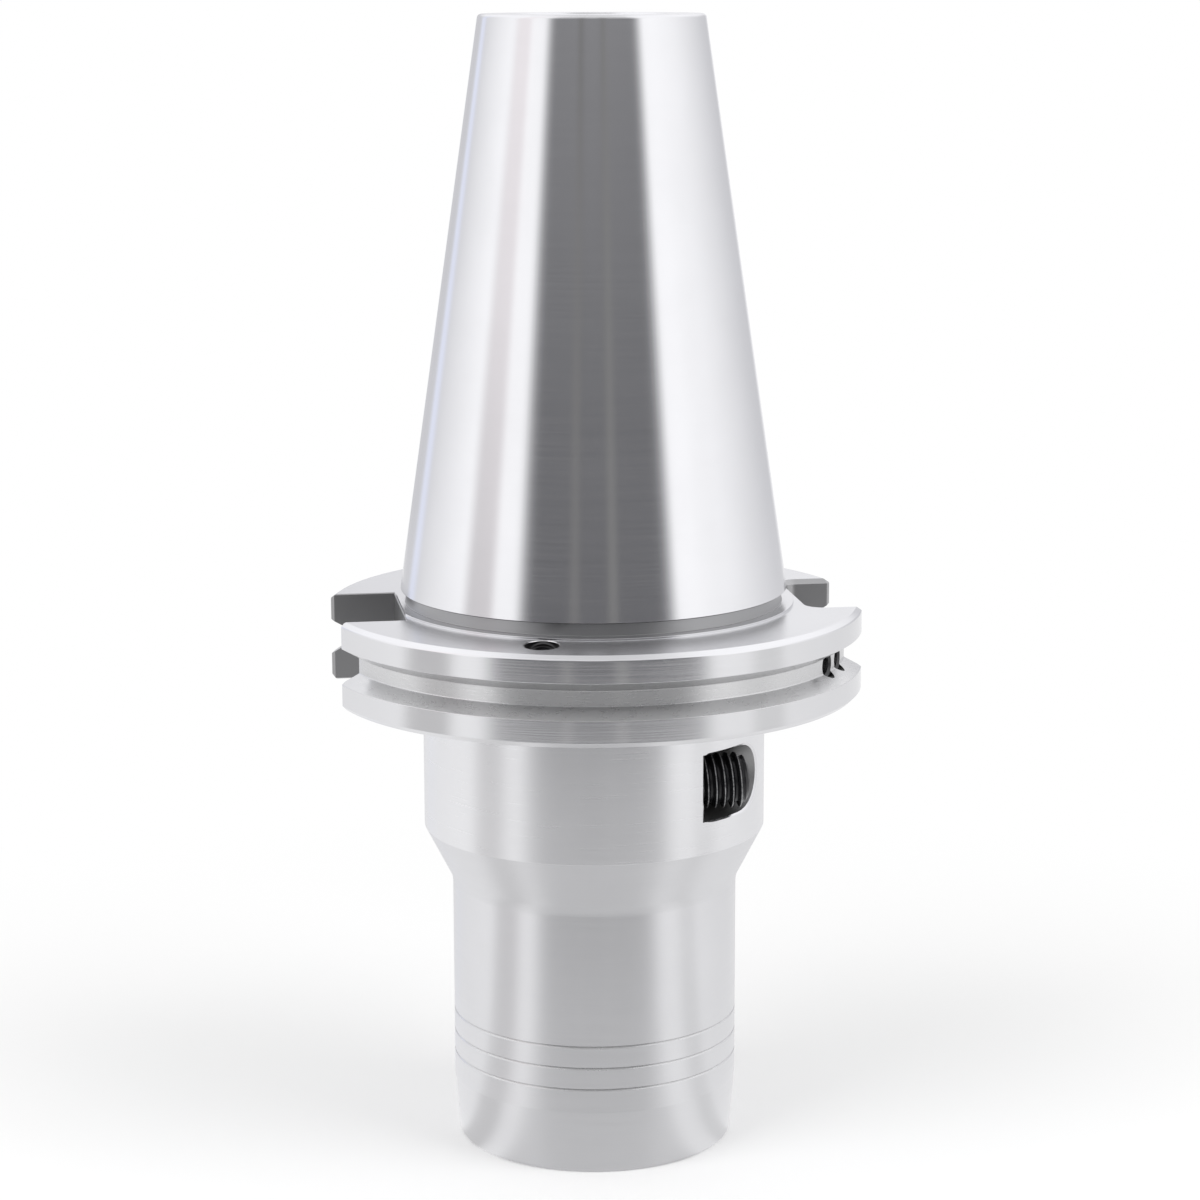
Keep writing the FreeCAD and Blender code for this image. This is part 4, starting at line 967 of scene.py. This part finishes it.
def pocket_cutters():
    """Cutters for the milled pocket round the clamping screw and its broken edges."""
    screws = settings("screws")
    outer, edge = settings("nose").body_diameter / 2, screws.pocket_edge
    radius, wall = screws.pocket_radius, screws.pocket_wall
    inner, outside = radius - screws.offset, -outer - BEYOND

    def surface(depth, least):
        """Place along X where the round body lies, less a depth, never before the wall."""
        return lambda point: max(wall + least,
                                 math.sqrt(max((outer - depth) ** 2 - point.x ** 2, 0.0)))

    stretches = []
    for start, end, first, last, _ in rounded_outline([
            (outside, -radius), (inner, -radius, radius), (inner, radius, radius),
            (outside, radius)]):
        pieces = max(1, round((end - start).length / POCKET_PIECE))
        for k in range(pieces):
            stretches.append([a.lerp(b, share / pieces) for a, b in ((start, end), (first, last))
                              for share in (k, k + 1)])
    pocket = drawn("pocket", stretches, [
        (wall, 0.0), (surface(edge, 0.5 * WALL_STEP), 0.0),
        (surface(-edge, 2.5 * WALL_STEP), 2 * edge), (outer + BEYOND, 2 * edge)],
        "pocket", Matrix.Translation((0, 0, screws.height)) @ SIDEWAYS, "chamfered")
    corner = Vector((wall, -math.sqrt(outer ** 2 - wall ** 2)))
    outward = corner.normalized() * edge
    upright = drawn("pocket_edge", rounded_outline([
        corner + Vector((outward.y, -outward.x)), corner + outward + Vector((edge, 0)),
        corner + Vector((0, edge))]),
        [(screws.height - radius, 0.0), (screws.height + radius, 0.0)], "chamfered")
    return [pocket, upright]


def tapped_hole(name, radius, core, floor, face, outside, sides, place):
    """Cutter for the hole under a thread, with a chamfered lead at its face."""
    return turned(name, ["drilled", (0, floor), (core, floor),
                         "chamfered", (core, face - (radius - core)), (radius, face),
                         (radius, outside), (0, outside)], sides, False, place)


def chamber_floor():
    """Radius of the floor of the oil chambers."""
    return settings("nose").seat_diameter / 2 - settings("nose").chamber_depth


def clamping_cutters():
    """Cutters for the tapped hole, the piston bore and the oil duct behind it."""
    screws = settings("screws")
    wall, end = screws.pocket_wall, screws.hole_end
    hole = tapped_hole("screw_hole", screws.diameter / 2 + SCREW_MOUTH,
                       core_radius(screws.diameter, screws.pitch), end - wall, 0.0, SHORT_REACH,
                       SMALL_SIDES, clamping_place(wall))
    tap = threaded("screw_tap", screws.diameter, screws.pitch, end - SCREW_LOW.x,
                   wall - SCREW_LOW.x + OVERLAP, SCREW_TAP_LEAD, "drilled", SCREW_TAP_SIDES,
                   clamping_place(SCREW_LOW.x))
    bore_end = end - screws.piston_bore_length
    middle = Vector((0, -screws.offset, screws.height))
    bore = drill(middle + Vector((end + OVERLAP, 0, 0)), middle + Vector((bore_end, 0, 0)),
                 screws.piston_bore / 2, "ground_bore")
    oil_end = middle + Vector((bore_end + screws.oil_duct / 2, 0, 0))
    start = (oil_end.to_2d().normalized() * chamber_floor()).to_3d()
    start.z = screws.oil_height
    return [hole, tap, bore, drill(start, oil_end, screws.oil_duct / 2, sides=OIL_SIDES)]


def port_point(radius):
    """Point on the filling port's axis."""
    screws = settings("screws")
    return polar(radius, screws.port_azimuth, screws.port_height)


def port_place(radius):
    """Placement on the filling port's axis with Z outwards, at a radius."""
    return aim(port_point(radius), port_point(radius + 1.0))


def port_screw_foot():
    """Radius of the bleed screw's inner end, found from its box."""
    middle = (PORT_SCREW_LOW + PORT_SCREW_HIGH) / 2
    return middle.to_2d().length - settings("screws").small_length / 2


def filling_cutters():
    """Cutters for the filling port, its seat and its duct."""
    screws = settings("screws")
    outer, pitch = settings("nose").body_diameter / 2, screws.small_pitch
    floor = outer - screws.port_depth
    hole = tapped_hole("port_hole", screws.small_diameter / 2 + PORT_MOUTH,
                       core_radius(screws.small_diameter, pitch), floor, outer, outer + BEYOND,
                       CUTTER_SIDES, port_place(0.0))
    foot = port_screw_foot()
    start = math.ceil((floor - foot) / pitch) * pitch
    tap = threaded("port_tap", screws.small_diameter, pitch, start, outer - foot + TAP_RISE,
                   TAP_LEAD, "drilled", CUTTER_SIDES, port_place(foot))
    inner = port_point(floor - screws.port_seat)
    chamber = polar(chamber_floor(), screws.port_azimuth, screws.oil_height)
    return [hole, tap] + [drill(source, inner, screws.oil_duct / 2, sides=OIL_SIDES)
                          for source in (port_point(floor + OVERLAP), chamber)]


def coolant_line(number):
    """Deep end of a coolant duct, foot of its plug, mouth and direction."""
    screws = settings("screws")
    bearing, duct = screws.coolant_azimuth + number * math.pi, screws.coolant_duct / 2
    deep = polar(settings("nose").tool_bore / 2 - duct, bearing - screws.coolant_swing,
                 relief_top() - duct)
    mouth = polar(screws.coolant_radius, bearing, flange_levels()[0])
    way = (mouth - deep).normalized()
    return deep, mouth - way * (screws.coolant_recess + screws.small_length), mouth, way


def coolant_cutters(number):
    """Cutters for a coolant duct, its tapped hole, the plain mouth and its broken edge."""
    screws = settings("screws")
    deep, foot, mouth, way = coolant_line(number)
    radius, pitch, edge = screws.small_diameter / 2, screws.small_pitch, screws.coolant_edge
    plug_top = screws.coolant_recess + screws.small_length
    outside = mouth + way * COOLANT_REACH
    duct = drill(deep, mouth, screws.coolant_duct / 2, sides=COOLANT_SIDES)
    # the port's hole, plain mouth and thread take the near-black port finish, painted shade inside the
    # port
    hole = drill(outside, mouth - way * screws.coolant_depth,
                 core_radius(screws.small_diameter, pitch), "port")
    opening = drill(outside, mouth - way * screws.coolant_mouth, radius, "port")
    start = -math.floor((screws.coolant_depth - plug_top) / pitch * 2) * pitch / 2
    tap = threaded("coolant_tap", screws.small_diameter, pitch, start,
                   plug_top - screws.coolant_mouth + TAP_RISE, TAP_LEAD, "port", CUTTER_SIDES,
                   aim(foot, mouth))
    # the slanting hole meets the flat face in an oval
    turns = [2 * math.pi * k / SMALL_SIDES for k in range(SMALL_SIDES + 1)]
    points = [Vector((radius / way.z * math.cos(t), radius * math.sin(t))) for t in turns]
    normals = [Vector((math.cos(t) * way.z, math.sin(t))).normalized() for t in turns]
    oval = list(zip(points, points[1:], normals, normals[1:]))
    inward = way.to_2d().length / way.z * edge
    place = Matrix.Translation(mouth) @ Matrix.Rotation(math.atan2(way.y, way.x), 4, "Z")
    rim = drawn("coolant_rim", oval, [(-edge, RIM_FOOT, (-inward, 0)), (0.0, edge),
                                      (BEYOND, edge)], "chamfered", place)
    return [duct, hole, opening, tap, rim]


def axis_taps():
    """Cutters for the pull stud's thread and the length screw's."""
    shank, screws = settings("shank"), settings("screws")
    stud = threaded("stud_tap", shank.stud_diameter, shank.stud_pitch, STUD_START,
                    shank.stud_depth - shank.pilot_depth + TAP_LEAD, STUD_TAP_LEAD, "drilled",
                    STUD_SIDES, Matrix.Translation((0, 0, shank.height - shank.stud_depth)))
    stop = threaded("stop_tap", screws.stop_diameter, screws.stop_pitch,
                    relief_top() - STOP_LOW.z - TAP_LEAD, screws.stop_bore_step - STOP_LOW.z,
                    TAP_LEAD, "drilled", SCREW_SIDES, Matrix.Translation((0, 0, STOP_LOW.z)))
    return [stud, stop]


class CHUCK_OT_holder(bpy.types.Operator):
    """Turn the holder in one piece and cut its keyways, pocket, ports and threads"""

    bl_idname = "chuck.holder"
    bl_label = "Holder"

    def execute(self, context):
        flange = settings("flange")
        piece = turned("turned_holder", nose_corners() + flange_corners() + shank_corners()
                       + bore_corners(), HOLDER_SIDES)
        shallow = keyway_cutter(0.0, flange.shallow_floor, flange.shallow_radius,
                                flange.shallow_edge)
        deep = keyway_cutter(math.pi, flange.deep_floor, 0.0, flange.deep_edge)
        combine(piece, [shallow, deep] + balance_cutters() + pocket_cutters() + clamping_cutters()
                + filling_cutters() + coolant_cutters(0) + coolant_cutters(1) + axis_taps())
        finish_piece(piece, "holder", "holder_body")
        return {"FINISHED"}


class CHUCK_OT_sleeve(bpy.types.Operator):
    """Turn the thin expansion sleeve with its oil chambers"""

    bl_idname = "chuck.sleeve"
    bl_label = "Expansion sleeve"

    def execute(self, context):
        nose = settings("nose")
        inner, outer, floor = nose.tool_bore / 2, nose.seat_diameter / 2, chamber_floor()
        outline = ["faced", (inner + nose.tool_chamfer, 0, BROKEN_EDGE),
                   "ground_bore", (outer, 0, BROKEN_EDGE)]
        for foot in (nose.lower_chamber, nose.upper_chamber):
            top = foot + nose.chamber_length
            outline += ["drilled", (outer, foot), (floor, foot, INNER_CORNER),
                        (floor, top, INNER_CORNER), "ground_bore", (outer, top)]
        outline += ["faced", (outer, SLEEVE_HIGH.z, BROKEN_EDGE),
                    "ground_bore", (inner, SLEEVE_HIGH.z, BROKEN_EDGE),
                    "chamfered", (inner, nose.tool_chamfer, BROKEN_EDGE)]
        piece = turned("ground_sleeve", outline, SLEEVE_SIDES)
        half, outside = nose.chamber_link / 2, outer + BEYOND
        link = drawn("chamber_link", rounded_outline([
            (floor, -half), (outside, -half), (outside, half), (floor, half)]),
            [(nose.lower_chamber + nose.chamber_length - LINK_OVERLAP, 0.0),
             (nose.upper_chamber + LINK_OVERLAP, 0.0)])
        combine(piece, [link])
        finish_piece(piece, "holder", "expansion_sleeve")
        return {"FINISHED"}


class CHUCK_OT_clamping_screw(bpy.types.Operator):
    """Thread the blackened clamping screw and sink its hexagon socket"""

    bl_idname = "chuck.clamping_screw"
    bl_label = "Clamping screw"

    def execute(self, context):
        screws = settings("screws")
        piece = threaded("threaded_clamping_screw", screws.diameter - 2 * screws.clearance,
                         screws.pitch, 0.0, SCREW_HIGH.x - SCREW_LOW.x, screws.chamfer, "oxide",
                         SCREW_SIDES, clamping_place(SCREW_LOW.x), screws.chamfer_drop)
        combine(piece, socket_cutters(screws.socket, screws.socket_depth,
                                      clamping_place(SCREW_HIGH.x)))
        finish_piece(piece, "clamping_screw", "clamping_screw")
        return {"FINISHED"}


class CHUCK_OT_port_screws(bpy.types.Operator):
    """Thread the bleed screw and the two coolant plugs"""

    bl_idname = "chuck.port_screws"
    bl_label = "Port screws"

    def execute(self, context):
        screws = settings("screws")
        places = {"bleed_screw": port_place(port_screw_foot())}
        for index in range(2):
            _, foot, mouth, _ = coolant_line(index)
            places[f"coolant_plug_{index + 1}"] = aim(foot, mouth)
        for node, place in places.items():
            piece = threaded(f"threaded_{node}", screws.small_diameter - 2 * screws.clearance,
                             screws.small_pitch, 0.0, screws.small_length, screws.small_chamfer,
                             "oxide", SMALL_SIDES, place)
            top = place @ Matrix.Translation((0, 0, screws.small_length))
            combine(piece, socket_cutters(screws.small_socket, screws.small_socket_depth, top))
            finish_piece(piece, "holder", node)
        return {"FINISHED"}


class CHUCK_OT_length_screw(bpy.types.Operator):
    """Thread the length-adjusting screw and turn its sealed spigot"""

    bl_idname = "chuck.length_screw"
    bl_label = "Length screw"

    def execute(self, context):
        screws = settings("screws")
        foot, top = STOP_LOW.z, STOP_HIGH.z
        piece = threaded("threaded_length_screw", screws.stop_diameter - 2 * screws.clearance,
                         screws.stop_pitch, 0.0, screws.stop_shoulder - foot, screws.stop_chamfer,
                         "oxide", SCREW_SIDES, Matrix.Translation((0, 0, foot)))
        spigot = screws.spigot_diameter / 2 - screws.running
        root, floor = screws.stop_shoulder - SPIGOT_ROOT, spigot - screws.seal_depth
        groove_top = top - screws.seal_setback
        groove_foot = groove_top - screws.seal_groove
        outline = ["oxide", (0, root), (spigot, root), (spigot, groove_foot, BROKEN_EDGE),
                   (floor, groove_foot, BROKEN_EDGE), (floor, groove_top, BROKEN_EDGE),
                   (spigot, groove_top, BROKEN_EDGE), (spigot, top - screws.stop_chamfer),
                   (spigot - screws.stop_chamfer, top), (0, top)]
        combine(piece, [turned("spigot", outline, SCREW_SIDES, False)], "UNION")
        duct = drill(Vector((0, 0, foot - BEYOND)), Vector((0, 0, top + BEYOND)),
                     screws.stop_duct / 2, "oxide")
        under = Matrix.Translation((0, 0, foot)) @ Matrix.Rotation(math.pi, 4, "X")
        combine(piece, [duct] + socket_cutters(screws.stop_socket, screws.stop_socket_depth, under))
        finish_piece(piece, "length_stop", "length_adjusting_screw")
        return {"FINISHED"}


class CHUCK_OT_pressure_parts(bpy.types.Operator):
    """Finish the piston, its rings, the ball and the stop's seal, which keep their solids"""

    bl_idname = "chuck.pressure_parts"
    bl_label = "Pressure parts"

    def execute(self, context):
        for node, finish in (("pressure_piston", "ground_bore"), ("piston_seal", "rubber"),
                             ("piston_backup_ring", "backup_plastic"),
                             ("bleed_ball", "polished_ball"), ("length_screw_seal", "rubber")):
            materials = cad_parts[node].data.materials
            materials.clear()
            materials.append(material(finish))
        return {"FINISHED"}


def towards_camera(studio, distance=1.0, height=0.0):
    """Point on the camera's side of the axis."""
    return polar(distance, -studio.bearing - math.pi / 2, height)


def draw_studio(studio):
    """Node group that gives the colour of the studio in a direction, from its panels."""
    tree = bpy.data.node_groups.new("studio", "ShaderNodeTree")
    tree.interface.new_socket("Direction", in_out="INPUT", socket_type="NodeSocketVector")
    tree.interface.new_socket("Color", in_out="OUTPUT", socket_type="NodeSocketColor")
    way = result(tree, "NodeGroupInput")
    parts = [measure(tree, "DOT_PRODUCT", "Value", way, axis)
             for axis in (polar(1.0, -studio.bearing, 0.0), towards_camera(studio))]
    azimuth = calculate(tree, "DEGREES", calculate(tree, "ARCTAN2", *parts))
    rise = result(tree, "ShaderNodeSeparateXYZ", {0: way}, 2)
    elevation = calculate(tree, "DEGREES", calculate(tree, "ARCSINE", rise))
    shade = WHITE
    for name, middle, half, soft, low, high, edge, brightness in PANELS:
        turn = calculate(tree, "SUBTRACT", azimuth, float(middle))
        apart = calculate(tree, "ABSOLUTE", calculate(tree, "WRAP", turn, HALF_TURN, -HALF_TURN))
        beside, above, below = (
            remap(tree, source, (place - softness, place + softness), change, "SMOOTHSTEP")
            for source, place, softness, change in (
                (apart, half, soft, FALL), (elevation, low, edge, RISE), (elevation, high, edge, FALL)))
        cover = calculate(tree, "MULTIPLY", beside, calculate(tree, "MULTIPLY", above, below))
        shade = mixed(tree, cover, shade, (*brightness, 1.0), name)
    add_node(tree, "NodeGroupOutput", {0: shade})


def studio_colour(tree, way):
    """Colour of the studio in a direction."""
    return result(tree, "ShaderNodeGroup", {0: way}, node_tree=bpy.data.node_groups["studio"])


def glow(tree, shade=WHITE, strength=1.0, kind="Background"):
    """Light of a colour, as the world's background or as an emission."""
    return result(tree, f"ShaderNode{kind}", {"Color": shade, "Strength": strength})


def rays(tree):
    """Whether a ray comes from the camera, also through glass, and whether from shiny metal."""
    path = add_node(tree, "ShaderNodeLightPath").outputs
    seen = calculate(tree, "MAXIMUM", path["Is Camera Ray"], path["Is Transmission Ray"])
    return seen, path["Is Glossy Ray"]


def light_studio(studio):
    """World that is white to the eye, a studio to polished metal and plain light to the rest."""
    world = bpy.data.worlds.new("studio")
    world.use_nodes = True
    tree = world.node_tree
    tree.nodes.clear()
    seen, glossy = rays(tree)
    way = result(tree, "ShaderNodeTexCoord", output="Generated")
    lit = mixed_shaders(tree, glossy, glow(tree, strength=studio.daylight),
                        glow(tree, studio_colour(tree, way)))
    add_node(tree, "ShaderNodeOutputWorld", {
        "Surface": mixed_shaders(tree, seen, lit, glow(tree))})
    bpy.context.scene.world = world


def hang_lamp(studio, name, bearing, distance, height):
    """Soft square lamp aimed at the chuck, which polished metal doesn't mirror."""
    lamp = bpy.data.lights.new(name, "AREA")
    lamp.energy = studio.lamp_power
    lamp.size = LAMP_SIZE
    holder = bpy.data.objects.new(name, lamp)
    holder.location = polar(distance, bearing, height)
    middle = Vector((0, 0, HOLDER_HIGH.z / 2))
    holder.rotation_euler = (holder.location - middle).to_track_quat("Z", "Y").to_euler()
    holder.visible_glossy = False
    bpy.context.scene.collection.objects.link(holder)


def lay_floor(studio):
    """Pale floor that takes the chuck's shadow and fades to white.

    It is round, with a straight front edge on the camera's side. To polished metal it glows
    with a painted reflection of the studio's panels instead.
    """
    towards = towards_camera(studio)
    bm = bmesh.new()
    ring = []
    for side in range(FLOOR_SIDES):
        point = polar(studio.floor_radius, 2 * math.pi * side / FLOOR_SIDES, FLOOR_LEVEL)
        over = max(point.dot(towards) - studio.floor_front, 0.0)
        ring.append(bm.verts.new(point - towards * over))
    bm.faces.new(ring)
    floor = new_piece("floor", bm)
    made, tree, shader = new_material("pale_floor")
    give_inputs(tree, shader, {"Base Color": (*settings("finishes").floor, 1.0),
                               "Roughness": 0.9, "Specular IOR Level": 0.0})
    place = object_place(tree)
    away = remap(tree, measure(tree, "LENGTH", "Value", place),
                 (studio.fade_start, studio.fade_end), kind="SMOOTHSTEP")
    seen, glossy = rays(tree)
    blend = mixed_shaders(tree, calculate(tree, "MULTIPLY", away, seen), shader.outputs[0],
                          glow(tree, kind="Emission"))
    # to polished metal the floor glows with a painted reflection: plain white mixed with the studio's
    # panels, with no shadow
    outward = measure(tree, "NORMALIZE", "Vector", place)
    panels = studio_colour(tree, measure(tree, "ADD", "Vector", outward, FLOOR_MIRROR))
    painted_reflection = mixed(tree, studio.floor_gloss, (*[studio.floor_white] * 3, 1.0), panels)
    whole = mixed_shaders(tree, glossy, blend, glow(tree, painted_reflection, kind="Emission"))
    give_inputs(tree, tree.nodes["Material Output"], {"Surface": whole})
    floor.data.materials.append(made)


def place_camera(studio):
    """Camera at the photograph's viewing angle."""
    data = bpy.data.cameras.new("camera")
    data.lens = studio.lens
    data.sensor_width = SENSOR_WIDTH
    data.clip_start = CLIP_START
    camera = bpy.data.objects.new("camera", data)
    camera.matrix_world = (
        Matrix.Translation(towards_camera(studio, studio.distance, studio.height))
        @ Matrix.Rotation(-studio.heading, 4, "Z")
        @ Matrix.Rotation(math.pi / 2 - studio.pitch, 4, "X")
        @ Matrix.Rotation(studio.roll, 4, "Z"))
    bpy.context.scene.collection.objects.link(camera)
    bpy.context.scene.camera = camera


class CHUCK_OT_stage(bpy.types.Operator):
    """Lay the floor, hang the lamps, light the studio and place the camera"""

    bl_idname = "chuck.stage"
    bl_label = "Stage"

    def execute(self, context):
        studio = settings("studio")
        draw_studio(studio)
        light_studio(studio)
        lay_floor(studio)
        for lamp in LAMPS:
            hang_lamp(studio, *lamp)
        place_camera(studio)
        context.scene.view_settings.view_transform = "Standard"
        return {"FINISHED"}


OPERATORS = (CHUCK_OT_holder, CHUCK_OT_sleeve, CHUCK_OT_clamping_screw, CHUCK_OT_port_screws,
             CHUCK_OT_length_screw, CHUCK_OT_pressure_parts, CHUCK_OT_stage)


class CHUCK_PT_panel(bpy.types.Panel):
    """Lists the steps that build the chuck"""

    bl_idname = "CHUCK_PT_panel"
    bl_label = "Hydraulic chuck"
    bl_space_type = "VIEW_3D"
    bl_region_type = "UI"
    bl_category = "Chuck"

    def draw(self, context):
        for operator in OPERATORS:
            self.layout.operator(operator.bl_idname)


GROUPS = {"shank": ShankSizes, "flange": FlangeSizes, "nose": NoseSizes, "screws": ScrewSizes,
          "finishes": FinishColours, "studio": StudioSettings}


def register():
    """Make the sizes, the operators and the panel known to Blender."""
    for name, group in GROUPS.items():
        bpy.utils.register_class(group)
        setattr(bpy.types.Scene, f"chuck_{name}", PointerProperty(type=group))
    for item in OPERATORS + (CHUCK_PT_panel,):
        bpy.utils.register_class(item)


def unregister():
    """Take them away again, last first."""
    for item in reversed(OPERATORS + (CHUCK_PT_panel,)):
        bpy.utils.unregister_class(item)
    for name, group in reversed(GROUPS.items()):
        delattr(bpy.types.Scene, f"chuck_{name}")
        bpy.utils.unregister_class(group)


def main():
    """Build every piece and the stage."""
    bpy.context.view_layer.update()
    register()
    bpy.ops.chuck.holder()
    bpy.ops.chuck.sleeve()
    bpy.ops.chuck.clamping_screw()
    bpy.ops.chuck.port_screws()
    bpy.ops.chuck.length_screw()
    bpy.ops.chuck.pressure_parts()
    bpy.ops.chuck.stage()


if __name__ == "__main__":
    main()
